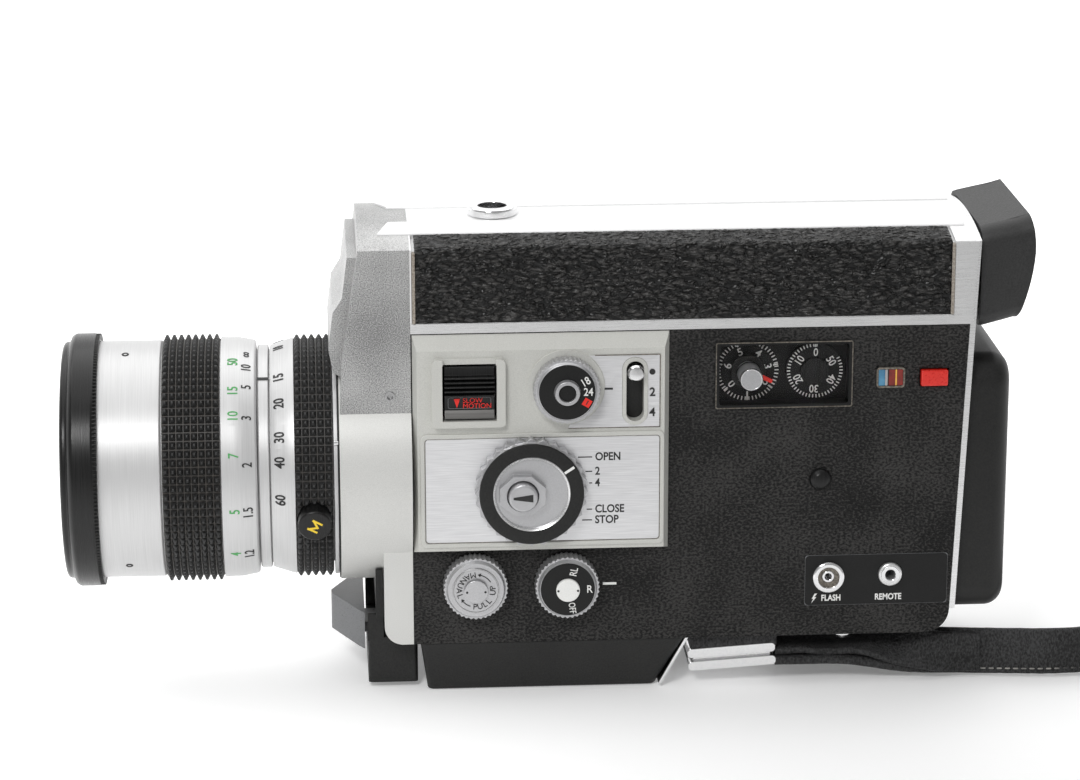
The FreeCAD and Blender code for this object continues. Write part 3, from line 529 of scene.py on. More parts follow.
def make_camera():
    data = bpy.data.cameras.new("view")
    data.sensor_width = 36.0
    data.lens = 121.67
    data.clip_start = 0.05
    data.clip_end = 20
    camera = in_scene("view", data)
    turn = (Matrix.Rotation(math.radians(-3.69), 4, "Z") @ Matrix.Rotation(math.radians(90 - 16.1), 4, "X")
            @ Matrix.Rotation(math.radians(-0.11), 4, "Z"))
    camera.matrix_world = Matrix.Translation((-0.05803, -0.85878, 0.31775)) @ turn
    bpy.context.scene.camera = camera


def area_light(name, place, target, size, power):
    data = bpy.data.lights.new(name, "AREA")
    data.shape = "RECTANGLE"
    data.size, data.size_y = size
    data.energy = power
    lamp = in_scene(name, data)
    lamp.location = place
    lamp.rotation_euler = (Vector(target) - Vector(place)).to_track_quat("-Z", "Y").to_euler()


SKY_DIMMING = 0.75
FRONT_LIGHT = 0.42
BACK_LIGHT = 1.35
# Painted glow: how strongly the floor itself gives off light behind the object, though it is no lamp
PAINTED_FLOOR_GLOW = 0.5


def floor_paper():
    """Pale sweep of paper with painted light on it: painted shade makes its colour darker in front, towards the
    camera, and a painted glow makes it give off light, most on the left and behind the object.
    """
    tree, shader = new_material("floor_paper")
    where = tree.nodes.new("ShaderNodeTexCoord")
    parts = tree.nodes.new("ShaderNodeSeparateXYZ")
    link(tree, where.outputs["Object"], parts.inputs["Vector"])
    # Painted shade: the floor's colour falls from 0.93 to 0.30 in front of the object, towards the camera
    front = spread(tree, parts.outputs["Y"], 0, 1, -0.30, -0.06)
    link(tree, blend_colours(tree, front, 0.30, 0.93), shader.inputs["Base Color"])
    # Painted glow: the floor gives off light, more on the left and behind the object, though it is no lamp
    near = spread(tree, parts.outputs["X"], 0.32, 0.10, -0.12, 0.08)
    behind = spread(tree, parts.outputs["Y"], 0.0, PAINTED_FLOOR_GLOW, -0.02, 0.40)
    link(tree, maths(tree, "Math", "ADD", near, behind), shader.inputs["Emission Strength"])
    shader.inputs["Emission Color"].default_value = (1, 1, 1, 1)
    fibre = noise_node(tree, 700)
    link(tree, spread(tree, fibre.outputs["Fac"], 0.7, 0.82), shader.inputs["Roughness"])


def make_stage():
    scene = bpy.context.scene
    scene.view_settings.view_transform = "Standard"
    world = bpy.data.worlds.new("studio")
    world.use_nodes = True
    sky = world.node_tree
    where = sky.nodes.new("ShaderNodeTexCoord")
    parts = sky.nodes.new("ShaderNodeSeparateXYZ")
    link(sky, where.outputs["Generated"], parts.inputs["Vector"])
    height = spread(sky, parts.outputs["Z"], 1.0, SKY_DIMMING, 0.02, 0.55)
    depth = spread(sky, parts.outputs["Y"], FRONT_LIGHT, BACK_LIGHT, -0.1, 0.5)
    link(sky, maths(sky, "Math", "MULTIPLY", height, depth), sky.nodes["Background"].inputs["Strength"])
    sky.nodes["Background"].inputs["Color"].default_value = (1, 1, 1, 1)
    scene.world = world
    area_light("top_soft", (-0.05, 0.18, 0.8), (0, 0.02, 0.08), (1.3, 1.0), 4.5)
    area_light("front_soft", (-0.35, -0.8, 0.75), (0, 0, 0.06), (0.32, 0.26), 5.2)
    mesh = bpy.data.meshes.new("floor")
    half = 6.0
    mesh.from_pydata([(-half, -half, 0), (half, -half, 0), (half, half, 0), (-half, half, 0)], [], [(0, 1, 2, 3)])
    floor = in_scene("floor", mesh)
    floor.location.z = -0.0002
    floor_paper()
    mesh.materials.append(MAT["floor_paper"])


make_camera()
make_stage()

# ---------------------------------------------------------------- lens

def cut(piece, cutter):
    """Take the cutter's space out of a piece, and remove the cutter."""
    made = piece.modifiers.new("cut", "BOOLEAN")
    made.object = cutter
    made.operation = "DIFFERENCE"
    made.solver = "EXACT"
    mesh = worked_out(piece)
    piece.modifiers.remove(made)
    piece.data = mesh
    bpy.data.objects.remove(cutter)
    smooth(mesh, 20)


def closed_cutter(verts, faces):
    """Object with outward faces, used to cut with."""
    return in_scene("cutter", new_mesh("cutter", verts, faces))


def plain_rod(start, end, r, around=40):
    """Closed rod between two points, used to cut with."""
    a, b = Vector(start), Vector(end)
    turn = (b - a).to_track_quat("Z", "X")
    verts = []
    for end_point in (a, b):
        for j in range(around):
            t = math.tau * j / around
            verts.append(end_point + turn @ Vector((r * math.cos(t), r * math.sin(t), 0)))
    return closed_cutter(verts, capped_faces(around))


def knurled_sleeve(node, x0, x1, columns, rows, bore, valley, tip, material):
    """Rubber sleeve covered in blunt four-sided studs."""
    verts = []
    faces = []

    def at(x, t, r):
        verts.append((x, -r * math.cos(t), LENS_Z + r * math.sin(t)))
        return len(verts) - 1

    wide = (x1 - x0) / columns
    turn = math.tau / rows
    for i in range(columns):
        for j in range(rows):
            loops = []
            for inset, r in ((0.0, valley), (0.06, valley), (0.36, tip - 0.06), (0.42, tip)):
                a, b = x0 + wide * (i + inset), x0 + wide * (i + 1 - inset)
                s, t = turn * (j + inset), turn * (j + 1 - inset)
                loops.append([at(a, s, r), at(b, s, r), at(b, t, r), at(a, t, r)])
            for outer, inner in zip(loops, loops[1:]):
                for k in range(4):
                    n = (k + 1) % 4
                    faces.append((outer[k], outer[n], inner[n], inner[k]))
            faces.append(tuple(loops[-1]))
    for j in range(rows):
        s, t = turn * j, turn * (j + 1)
        for x in (x0, x1):
            faces.append((at(x, s, valley), at(x, t, valley), at(x, t, bore), at(x, s, bore)))
        faces.append((at(x0, s, bore), at(x0, t, bore), at(x1, t, bore), at(x1, s, bore)))
    return mesh_piece(node + "_made", verts, faces, body_of(node), material, (node,), 20)


def serration(name, x0, x1, low, high, count, body, material):
    """Band of fine teeth round the lens."""
    verts = []
    for x in (x0, x1):
        for r_low, r_high in ((low - 1.0, low - 1.0), (low, high)):
            for j in range(count * 4):
                r = r_high if j % 4 in (1, 2) else r_low
                t = math.tau * j / (count * 4)
                verts.append((x, -r * math.cos(t), LENS_Z + r * math.sin(t)))
    n = count * 4
    faces = []
    for a, b in ((0, 1), (1, 3), (3, 2), (2, 0)):
        for j in range(n):
            k = (j + 1) % n
            faces.append((a * n + j, a * n + k, b * n + k, b * n + j))
    return mesh_piece(name, verts, faces, body, material, angle=25)


def set_screw(name, x, angle, r, body):
    """Small socket screw let into the barrel."""
    t = math.radians(angle)
    out = Vector((0, -math.cos(t), math.sin(t)))
    axis = Vector((x, 0, LENS_Z))
    turn = out.to_track_quat("Z", "X")
    verts = []
    for lift, radius in ((-0.9, AXIS), (-0.9, 0.9), (0.04, 0.9), (0.1, 0.8), (0.1, 0.45), (-0.5, 0.40),
                         (-0.5, AXIS)):
        for j in range(18):
            a = math.tau * j / 18
            verts.append(axis + out * (r + lift) + turn @ Vector((radius * math.cos(a), radius * math.sin(a), 0)))
    return mesh_piece(name, verts, ring_faces(7, 18, True), body, "black_satin")


MACRO_X = -58.4
MACRO_ANGLE = -14.7


def make_lens():
    softened("front_ring", "black_gloss", 0.5)
    serration("front_ring_teeth", -110.9, -109.7, 30.3, 30.75, 190, "focus_group", "black_satin")
    softened("front_barrel", "satin_silver", 0.15)
    for i, angle in enumerate((77.2, -46.2, 193.0)):
        set_screw("barrel_screw_%d" % (i + 1), -103.2, angle, 28.9, "focus_group")
    knurled_sleeve("focus_grip", -94.4, -80.6, 8, 88, 28.45, 28.9, 30.1, "focus_rubber")
    soften_all(("distance_ring", "satin_silver", 0.15), ("lens_core", "satin_silver", 0.15),
               ("zoom_scale_ring", "satin_silver", 0.12))
    zoom = knurled_sleeve("zoom_grip", -62.9, -53.9, 5, 84, 28.45, 28.6, 29.6, "zoom_rubber")
    tilt = math.radians(MACRO_ANGLE)
    out = Vector((0, -math.cos(tilt), math.sin(tilt)))
    centre = Vector((MACRO_X, 0, LENS_Z))
    cut(zoom, plain_rod(centre + out * 20, centre + out * 40, 4.25))
    soften_all(("macro_button", "black_gloss", 0.5), ("front_element", "optical_glass", 0),
               ("variator_lens", "optical_glass", 0))
    turned("front_baffle", [(-106.4, 25.9), (-106.4, 17.5), (-105.6, 17.0), (-105.2, 25.9)], (0, LENS_Z), "X",
           "focus_group", "black_satin", 96, 0.1)
    scales = (
        ("feet_scale", "focus_group", "ink_green", (-77.3, 29.38, 3.5, 0.03, 0.78, -0.02),
         (("50", 67.7), ("15", 49.1), ("10", 35.9), ("7", 17.2), ("5", -9.9), ("4", -36.2))),
        ("metre_scale", "focus_group", "ink_black", (-74.1, 28.99, 3.3, 0.03, 0.78, -0.189),
         (("∞", 74.6), ("10", 63.8), ("5", 51.7), ("3", 35.2), ("2", 12.8), ("1.5", -10.9), ("1.2", -37.3))),
        ("zoom_scale", "zoom_group", "ink_black", (-66.4, 27.97, 3.4, 0.07, 0.82, 0.3256),
         (("8", 104.0), ("10", 85.9), ("15", 58.8), ("20", 43.3), ("30", 25.7), ("40", 13.4), ("60", -5.6))))
    for name, body, ink, (x, r, size, bold, narrow, slope), labels in scales:
        scale = Marks()
        for text, angle in labels:
            scale.on_lens(text, x, angle, r, size, bold, narrow=narrow, slope=slope)
        scale.made(name, body, ink)
    index = Marks()
    index.lens_line(-71.6, -68.8, 59.4, 27.42, 0.8)
    index.made("index_mark", CASE, "ink_black")
    letter = Marks()
    for start, end in (((-1.25, -1.1), (-1.25, 1.1)), ((-1.25, 1.0), (0, -0.7)), ((0, -0.7), (1.25, 1.0)),
                       ((1.25, 1.1), (1.25, -1.1))):
        letter.lens_bar(start, end, 0.5, MACRO_X, MACRO_ANGLE, 32.68, -30)
    letter.made("macro_letter", "macro", "ink_yellow")
    pin = math.radians(22.2)
    placed(turned("shroud_pin", [(-0.9, AXIS), (-0.9, 0.5), (0.2, 0.5), (0.45, 0.3), (0.5, AXIS)], (0, 0), "X",
                  CASE, "chrome", 16), (-52.6, -29.6 * math.cos(pin), LENS_Z + 29.6 * math.sin(pin)))


# ---------------------------------------------------------------- casing

CROWN = 114.0
CROWN_R = 120.0
ROW_STEP = 0.335
UP_TO_SHOULDER = 55


def crown_z(y):
    return CROWN - CROWN_R + math.sqrt(CROWN_R ** 2 - y ** 2)


def leather_profile(side):
    """Rows of (y, z, outward y, outward z) up the side and, on the control side, over onto the roof."""
    rows = []
    edge = 24.0
    for i in range(50):
        rows.append((side * 25.12, 93.55 + i * ROW_STEP, side, 0.0))
    top = crown_z(edge) - 0.05
    for i in range(9):
        t = math.radians(90 * i / 8)
        rows.append((side * (edge + 1.12 * math.cos(t)), top - 1.12 + 1.2 * math.sin(t), side * math.cos(t),
                     math.sin(t)))
    for i in range(1, 23):
        y = edge - i * 0.36
        rows.append((side * y, crown_z(y) + 0.12, 0.0, 1.0))
    return rows if side < 0 else rows[:UP_TO_SHOULDER]


def pebble(x, up, side):
    """Height of the grain, 0 to 1: long folds that run along the body, split into pebbles."""
    where = Vector((x * 0.42, up * 1.02, 7.0 * side))
    warp = noise.noise_vector(where * 0.9) * 0.75
    cells = noise.voronoi(where + warp, distance_metric="DISTANCE")[0]
    crack = min(1.0, (cells[1] - cells[0]) * 2.3)
    return crack * crack * (3 - 2 * crack) + 0.18 * noise.noise(where * 5.0)


def leather_band(side, name, nodes):
    rows = leather_profile(side)
    columns = 390
    x0, x1 = -33.8, 93.9
    verts = []
    for r, (y, z, ny, nz) in enumerate(rows):
        for c in range(columns):
            x = x0 + (x1 - x0) * c / (columns - 1)
            edge = min(1.0, c / 3, (columns - 1 - c) / 3, (len(rows) - 1 - r) / 3, r / 3)
            lift = (0.5 * pebble(x, r * ROW_STEP, side) - 0.3) * edge - 0.3 * (1 - edge)
            verts.append((x, y + ny * lift, z + nz * lift))
    faces = []
    for r in range(len(rows) - 1):
        for c in range(columns - 1):
            k = r * columns + c
            faces.append((k, k + 1, k + columns + 1, k + columns))
    piece = mesh_piece(name, verts, faces, CASE, "black_leather", nodes, 180)
    backing = piece.modifiers.new("thickness", "SOLIDIFY")
    backing.thickness = 0.5 * MM
    backing.offset = 0
    return piece


def roof_rail(side):
    """Raised strip along the roof with a slanted front end."""
    rows = [16.2, 15.7, 14.0, 12.0, 10.0, 8.0, 7.5]
    verts = []
    for lift in (0.55, -0.3):
        for y in rows:
            front = -42.4 + (16.2 - y) * 0.32
            for x in (front, 98.2):
                drop = 0.3 if lift > 0 and y in (rows[0], rows[-1]) else 0
                verts.append((x, side * y, crown_z(y) + lift - drop))
    n = len(rows)
    faces = []
    for i in range(n - 1):
        a, b = 2 * i, 2 * i + 2
        faces.append((a, a + 1, b + 1, b))
        faces.append((2 * n + a, 2 * n + b, 2 * n + b + 1, 2 * n + a + 1))
        faces.append((a, b, 2 * n + b, 2 * n + a))
        faces.append((a + 1, 2 * n + a + 1, 2 * n + b + 1, b + 1))
    for i in (0, 2 * n - 2):
        faces.append((i, i + 1, 2 * n + i + 1, 2 * n + i))
    piece = mesh_piece("roof_rail_%s" % ("near" if side < 0 else "far"), verts, faces, CASE, "roof_paint",
                       angle=25)
    round_edges(piece, 0.2, 40)


def make_casing():
    turned("shroud_shadow", [(-52.5, 28.2), (-52.5, 30.2), (-52.2, 30.2), (-52.2, 28.2)], (0, LENS_Z), "X",
           CASE, "black_satin", 128)
    soften_all(("front_housing", "housing_paint", 0.5), ("front_cover", "grey_paint", 0.7),
               ("top_cover", "roof_paint", 0.4), ("left_shell", "black_leatherette", 0.5),
               ("right_shell", "black_leatherette", 0.5))
    leather_band(-1, "leather_near", ("leather_strips",))
    leather_band(1, "leather_far", ())
    for side in (-1, 1):
        roof_rail(side)
        for i, x in enumerate((-34.5, 93.95)):
            low, high = sorted((side * 24.3, side * 25.45))
            prism("leather_edge_%s_%d" % ("near" if side < 0 else "far", i + 1),
                  rounded(x, x + 0.75, 93.45, 110.9, 0.3, 3), low, high, "Y", CASE, "edge_metal", 0.1)
    soften_all(("trim_frame", "bright_trim", 0.2), ("film_door", "black_leatherette", 0.4),
               ("door_latch", "chrome", 0.3), ("rear_cover", "black_satin", 0.3),
               ("light_socket", "chrome", 0.25), ("body_screws", "steel", 0.12),
               ("finder_tube", "black_satin", 0.15), ("diopter_ring", "black_satin", 0.2),
               ("grip_base", "block_black", 0.9), ("tripod_socket", "steel", 0.15))


# ---------------------------------------------------------------- control panel

SLOW_X = (-27.2, -15.3)
RATE_DIAL = (1.7, 78.1)


def slow_button():
    """Sliding thumb button: five ribs, a label plate and a smoke-coloured ramp."""
    profile = [(-26.0, 83.7), (-28.2, 83.7), (-28.5, 83.4), (-28.5, 81.9)]
    for i in range(5):
        z = 81.6 - i * 1.1
        profile += [(-28.6, z), (-29.9, z - 0.25), (-30.0, z - 0.45), (-29.9, z - 0.65), (-28.7, z - 0.9)]
    profile += [(-28.6, 76.0), (-28.5, 73.1), (-26.0, 73.1)]
    prism("slow_button_made", profile, SLOW_X[0], SLOW_X[1], "X", "slow_motion", "black_gloss", 0.08,
          ("slow_button",))
    ramp = [(-26.0, 73.0), (-28.2, 73.0), (-29.3, 71.3), (-29.3, 71.0), (-26.0, 71.0)]
    prism("slow_ramp", ramp, SLOW_X[0], SLOW_X[1], "X", "slow_motion", "smoke_plastic", 0.15)
    outer = rounded(-26.4, -16.1, 73.4, 76.2, 0.5, 3)
    inner = rounded(-26.25, -16.25, 73.55, 76.05, 0.4, 3)
    frame_strip("slow_label_rim", outer, inner, -28.5, -28.72, "slow_motion", "dark_grey_plastic", 0.03)
    words = Marks()
    words.on_side("SLOW", -22.9, 75.4, -28.78, 1.7, 0, 0.0, "LEFT", 1.0)
    words.on_side("MOTION", -22.9, 74.05, -28.78, 1.7, 0, 0.0, "LEFT", 1.0)
    words.block([(-25.0, 75.9), (-23.5, 75.9), (-24.25, 73.6)], -28.74)
    words.made("slow_words", "slow_motion", "ink_red")


def panel_words():
    y = PANEL_Y - 0.08
    words = Marks()
    for text, z, dash0 in (("OPEN", 60.6, 4.6), ("2", 57.0, 6.4), ("4", 54.1, 7.3), ("CLOSE", 47.5, 6.7),
                           ("STOP", 44.8, 5.6)):
        words.on_side(text, 8.7, z, y, 2.75, 0, 0.07, "LEFT", 0.86)
        words.line(dash0, z, 8.0, z, y, 0.28)
    words.line(10.4, 77.5, 12.9, 77.5, y - 0.15, 0.45)
    words.spot(22.3, 81.5, y - 0.15, 0.72)
    words.on_side("2", 22.35, 76.4, y - 0.15, 2.9, 0, 0.06)
    words.on_side("4", 22.35, 71.4, y - 0.15, 2.9, 0, 0.06)
    words.made("panel_words", CASE, "ink_black")


def make_panel():
    softened("control_panel", "pale_grey_paint", 0.45)
    softened("brushed_plate", "brushed_plate", 0.12)
    frame_strip("plate_surround", rounded(-33.1, 25.3, 38.5, 66.95, 1.4), rounded(-32.0, 24.3, 39.6, 65.8, 0.9),
                -27.6, -28.45, CASE, "pale_grey_paint", 0.28)
    round_dial = [polar(RATE_DIAL, 9.35, a) for a in range(54, -90, -6)]
    outline = [(24.1, 67.9), (24.1, 85.7), (7.2, 85.7)] + round_dial + [(2.3, 67.9)]
    sub = prism("upper_plate", outline, -27.8, -28.13, "Y", CASE, "brushed_plate", 0.05)
    cut(sub, rounded_cutter(15.1, 21.3, 68.4, 85.2, 2.95))
    frame_strip("plate_seam", rounded(-32.1, 24.4, 39.5, 65.9, 0.9), rounded(-31.85, 24.15, 39.75, 65.65, 0.75),
                -27.8, PANEL_Y - 0.06, CASE, "dark_brass", 0)
    seams = Marks()
    seams.line(24.15, 67.9, 24.15, 85.7, -28.16, 0.22)
    seams.line(8.6, 85.75, 24.2, 85.75, -28.16, 0.22)
    seams.line(2.3, 67.85, 24.2, 67.85, -28.16, 0.18)
    seams.made("plate_seams", CASE, "dark_brass")
    slow_button()
    panel_words()
    floor = rounded(16.2, 20.2, 69.4, 84.2, 1.9)
    prism("slot_floor", floor, -24.9, -25.4, "Y", CASE, "black_satin", 0)
    softened("speed_lever", "chrome", 0.25)


def rounded_cutter(x0, x1, z0, z1, r):
    outline = rounded(x0, x1, z0, z1, r)
    verts = [(x, y, z) for y in (-20.0, -40.0) for x, z in outline]
    return closed_cutter(verts, capped_faces(len(outline)))


# ---------------------------------------------------------------- dials

def polar(place, r, angle):
    return place[0] + r * math.cos(math.radians(angle)), place[1] + r * math.sin(math.radians(angle))


def make_dials():
    rate = RATE_DIAL
    softened("rate_dial", "satin_cap", 0.12)
    turned("rate_face", [(-32.5, 3.15), (-32.5, 6.75), (-32.92, 6.7), (-32.98, 3.1)], rate, "Y", "rate",
           "black_face", 96, 0.05)
    turned("rate_cap", disc_outline(-33.2, -33.6, 2.05), rate, "Y", "rate", "black_face", 48, 0.08)
    words = Marks()
    for text, angle in (("18", 30), ("24", 0)):
        words.on_side(text, *polar(rate, 5.0, angle), -33.02, 2.7, angle, 0.03, narrow=0.85)
    words.made("rate_words", "rate", "ink_white")
    block = Marks()
    cx, cz = polar(rate, 5.35, -29)
    turn = math.radians(-31)
    corners = [(cx + a * math.cos(turn) - b * math.sin(turn), cz + a * math.sin(turn) + b * math.cos(turn))
               for a, b in ((-0.95, -0.95), (0.95, -0.95), (0.95, 0.95), (-0.95, 0.95))]
    block.block(corners, -32.97)
    block.made("rate_block", "rate", "ink_red")
    one = Marks()
    one.on_side("1", cx, cz, -33.03, 1.5, -31, 0.04)
    one.made("rate_one", "rate", "ink_black")

    dial, hub = (-6.7, 52.8), (-8.9, 52.8)
    softened("shutter_dial", "satin_cap", 0.2)
    turned("shutter_ring", [(-31.9, 9.15), (-31.9, 12.55), (-32.35, 12.35), (-32.45, 11.6), (-32.45, 9.3)], dial,
           "Y", "shutter_control", "black_satin", 128, 0.08)
    turned("shutter_bevel", [(-31.3, 8.5), (-31.3, 9.1), (-32.5, 9.15), (-32.2, 8.7)], dial, "Y",
           "shutter_control", "bright_trim", 128, 0.08)
    line = Marks()
    line.line(*polar(dial, 9.4, 33.5), *polar(dial, 12.1, 33.5), -32.5, 0.62)
    line.made("shutter_line", "shutter_control", "ink_white")
    softened("dial_button", "satin_cap", 0.3)
    wedge = Marks()
    wedge.block([(hub[0] - 2.35, hub[1] - 0.28), (hub[0] - 2.35, hub[1] + 0.28), (hub[0] + 2.35, hub[1] + 0.95),
                 (hub[0] + 2.35, hub[1] - 0.95)], -35.42)
    wedge.made("button_wedge", "shutter_release", "ink_black")

    exposure = (-20.1, 28.4)
    softened("exposure_dial", "satin_cap", 0.12)
    softened("exposure_spindle", "satin_cap", 0.2)
    turned("exposure_rim_line", [(-30.6, 5.35), (-30.6, 5.6), (-30.98, 5.55), (-30.98, 5.4)], exposure, "Y",
           "exposure", "steel", 96)
    words = Marks()
    ring_text(words, "MANUAL", exposure, 4.1, 100, 198, -30.98, 2.0)
    ring_text(words, "PULL UP", exposure, 4.1, 266, 370, -30.98, 2.0)
    for start, end in ((32, 78), (250, 216)):
        arrow(words, exposure, 4.1, start, end, -30.98)
    words.made("exposure_words", "exposure", "ink_black")
    # Painted shade: two flat black spots stand in for the dark insides of two small holes in the cap
    hole_shade = Marks()
    for side in (-1, 1):
        hole_shade.spot(exposure[0] + side * 2.2, exposure[1], -32.02, 0.28)
    hole_shade.made("exposure_hole_shade", "exposure_shaft", "ink_black")

    run = (2.0, 28.2)
    softened("run_dial", "satin_cap", 0.12)
    turned("run_face", [(-30.6, 2.85), (-30.6, 6.55), (-31.05, 6.5), (-31.1, 2.85)], run, "Y", "run_lock",
           "black_face", 96, 0.05)
    turned("run_cap", [(-31.0, AXIS), (-31.0, 2.85), (-31.75, 2.85), (-31.95, 2.65), (-31.95, AXIS)], run, "Y",
           "run_lock", "ink_white", 64, 0.06)
    words = Marks()
    words.on_side("RL", *polar(run, 4.75, 72), -31.14, 2.5, 78, 0.01, narrow=0.8)
    words.on_side("R", *polar(run, 5.2, 0), -31.14, 2.7, 0, 0.02, narrow=0.9)
    words.on_side("OFF", *polar(run, 4.75, -78), -31.14, 2.3, -82, 0.01, narrow=0.7)
    words.made("run_words", "run_lock", "ink_white")
    # Painted shade: two flat black spots stand in for the dark insides of two small holes in the cap
    hole_shade = Marks()
    for side in (-1, 1):
        hole_shade.spot(run[0] + side * 2.35, run[1], -31.97, 0.28)
    hole_shade.made("run_hole_shade", "run_lock", "ink_black")
    index = Marks()
    index.line(10.9, 27.5, 14.2, 27.5, SIDE_Y - 0.06, 0.6)
    index.made("run_index", CASE, "ink_white")


def ring_text(marks, text, place, r, start, end, y, size):
    """Letters spaced round a dial, with their tops to its centre."""
    for i, letter in enumerate(text):
        angle = start + (end - start) * i / (len(text) - 1)
        if letter != " ":
            marks.on_side(letter, *polar(place, r, angle), y, size, angle + 90, 0.0)


def arrow(marks, place, r, start, end, y):
    steps = 5
    for i in range(steps):
        a = start + (end - start) * i / steps
        b = start + (end - start) * (i + 1) / steps
        marks.line(*polar(place, r, a), *polar(place, r, b), y, 0.2)
    tip = end + (6 if end > start else -6)
    back = end - (4 if end > start else -4)
    marks.block([polar(place, r, tip), polar(place, r + 0.5, back), polar(place, r - 0.5, back)], y)


# ---------------------------------------------------------------- counters, windows and sockets

def ticks(marks, place, r0, r1, count, y, skip=None, wide=0.26):
    for i in range(count):
        angle = 360 * i / count
        if skip and skip[0] < angle < skip[1]:
            continue
        marks.line(*polar(place, r0, angle), *polar(place, r1, angle), y, wide)


def make_counters():
    frames, feet = (45.9, 79.3), (62.0, 79.3)
    softened("counter_frame", "black_face", 0.15)
    softened("counter_glass", "window_glass", 0.08)
    frame_strip("counter_rim", rounded(37.75, 70.75, 71.05, 87.45, 0.5), rounded(38.0, 70.5, 71.3, 87.2, 0.35),
                -25.1, -25.42, CASE, "dark_brass", 0.05)
    words = Marks()
    floor_y = -20.78
    ticks(words, frames, 6.55, 7.5, 50, floor_y)
    for text, angle in (("5", 112), ("4", 58), ("3", 11), ("2", -37), ("0", -139), ("6", 166)):
        words.on_side(text, *polar(frames, 4.85, angle), floor_y, 2.7, angle - 90, 0.03)
        words.line(*polar(frames, 6.3, angle), *polar(frames, 7.5, angle), floor_y, 0.34)
    words.line(frames[0], frames[1] - 5.2, frames[0], frames[1] - 7.5, floor_y - 0.1, 0.4)
    words.line(feet[0], feet[1] + 6.6, feet[0], feet[1] + 7.3, -22.15, 0.9)
    words.line(feet[0], feet[1] + 5.9, feet[0], feet[1] + 7.2, -22.15, 0.35)
    words.made("counter_words", CASE, "ink_white")
    softened("frame_knob", "black_satin", 0.2)
    turned("frame_knob_cap", [(-22.4, AXIS), (-22.4, 2.75), (-28.9, 2.72), (-29.3, 2.4), (-29.3, AXIS)], frames,
           "Y", "frame_counter", "satin_cap", 64, 0.1)
    pointer = Marks()
    pointer.block([polar(frames, 3.6, -12), polar(frames, 6.3, -19), polar(frames, 6.3, -27),
                   polar(frames, 3.6, -30)], -22.35, 0.1)
    pointer.made("frame_pointer", "frame_counter", "ink_red")
    turned("frame_knob_rim", [(-28.9, 2.3), (-28.9, 2.8), (-29.4, 2.6), (-29.4, 2.35)], frames, "Y",
           "frame_counter", "chrome", 64, 0.04)
    softened("footage_disc", "black_face", 0.12)
    turned("footage_hub", disc_outline(-21.9, -22.35, 3.3), feet, "Y", "footage_counter", "black_gloss", 64, 0.12)
    words = Marks()
    ticks(words, feet, 5.95, 6.75, 50, -22.05, (35, 84))
    for text, angle in (("0", 88), ("50", 31), ("40", -29), ("30", -92), ("20", -153), ("10", 146)):
        words.on_side(text, *polar(feet, 4.45, angle), -22.08, 2.7, angle - 90, 0.02, narrow=0.85)
    words.made("footage_words", "footage_counter", "ink_white")

    softened("indicator_window", "black_gloss", 0.2)
    y = -25.46
    for name, x0, x1, material in (("blue", 76.95, 78.5, "window_blue"), ("pale", 78.55, 79.15, "satin_cap"),
                                   ("red", 79.4, 80.95, "window_red"), ("amber", 81.0, 81.4, "window_amber"),
                                   ("dark", 81.45, 82.85, "window_red")):
        prism("window_" + name, rounded(x0, x1, 76.1, 80.1, 0.15, 2), -25.2, y, "Y", CASE, material, 0.05)
    frame_strip("window_rim", rounded(76.45, 83.35, 75.55, 80.65, 0.9), rounded(76.9, 82.9, 76.0, 80.2, 0.5),
                -25.0, -25.66, CASE, "dark_brass", 0.1)
    softened("check_button", "red_plastic", 0.35)
    softened("lamp_lens", "black_gloss", 0.25)
    softened("jack_plate", "black_face", 0.15)
    frame_strip("jack_outline", rounded(60.15, 95.05, 20.65, 33.45, 0.6), rounded(60.4, 94.8, 20.9, 33.2, 0.4),
                -24.9, -25.06, CASE, "dark_grey_plastic", 0.03)
    softened("flash_socket", "chrome", 0.2)
    flash, remote = (65.8, 28.1), (80.9, 28.5)
    turned("flash_bore", [(-24.6, 1.55), (-24.6, 2.58), (-25.7, 2.58), (-25.4, 1.55)], flash, "Y", CASE,
           "dark_brass", 64, 0.06)
    turned("flash_contact", disc_outline(-24.0, -25.7, 0.42), flash, "Y", CASE, "black_satin", 32, 0.08)
    softened("remote_jack", "bright_trim", 0.2)
    turned("remote_rim", [(-26.4, 1.25), (-26.4, 2.35), (-26.62, 2.2), (-26.55, 1.4)], remote, "Y", CASE,
           "chrome", 64, 0.05)
    words = Marks()
    words.on_side("FLASH", 66.6, 22.5, SIDE_Y - 0.22, 2.15, 0, 0.06, "CENTER", 0.8)
    words.on_side("REMOTE", 80.6, 22.5, SIDE_Y - 0.22, 2.15, 0, 0.06, "CENTER", 0.8)
    bolt = [(62.6, 23.7), (61.9, 22.4), (62.3, 22.4), (61.8, 21.3), (63.0, 22.8), (62.5, 22.8), (63.2, 23.7)]
    words.block(bolt, SIDE_Y - 0.22)
    words.made("socket_words", CASE, "ink_white")


# ---------------------------------------------------------------- eyecup, base, trigger and strap

def curve_eyecup(piece):
    """Curves the rear lip of the eyecup, which is fullest above its middle."""
    work = bmesh.new()
    work.from_mesh(piece.data)
    long_edges = [e for e in work.edges if e.calc_length() > 5 * MM]
    bmesh.ops.subdivide_edges(work, edges=long_edges, cuts=7)
    for vert in work.verts:
        x, y, z = vert.co / MM
        rear = min(1.0, max(0.0, (x - 102.5) / 9))
        high = (z - 106.0) / 13
        vert.co.x = (x + rear * (0.6 - (2.6 if high > 0 else 1.0) * high ** 2)) * MM
        vert.co.z = (z - rear * (1.3 * max(0.0, high) + 1.6 * min(0.0, high))) * MM
        vert.co.y = (y * (1 - 0.05 * rear * high ** 2)) * MM
    work.to_mesh(piece.data)
    work.free()


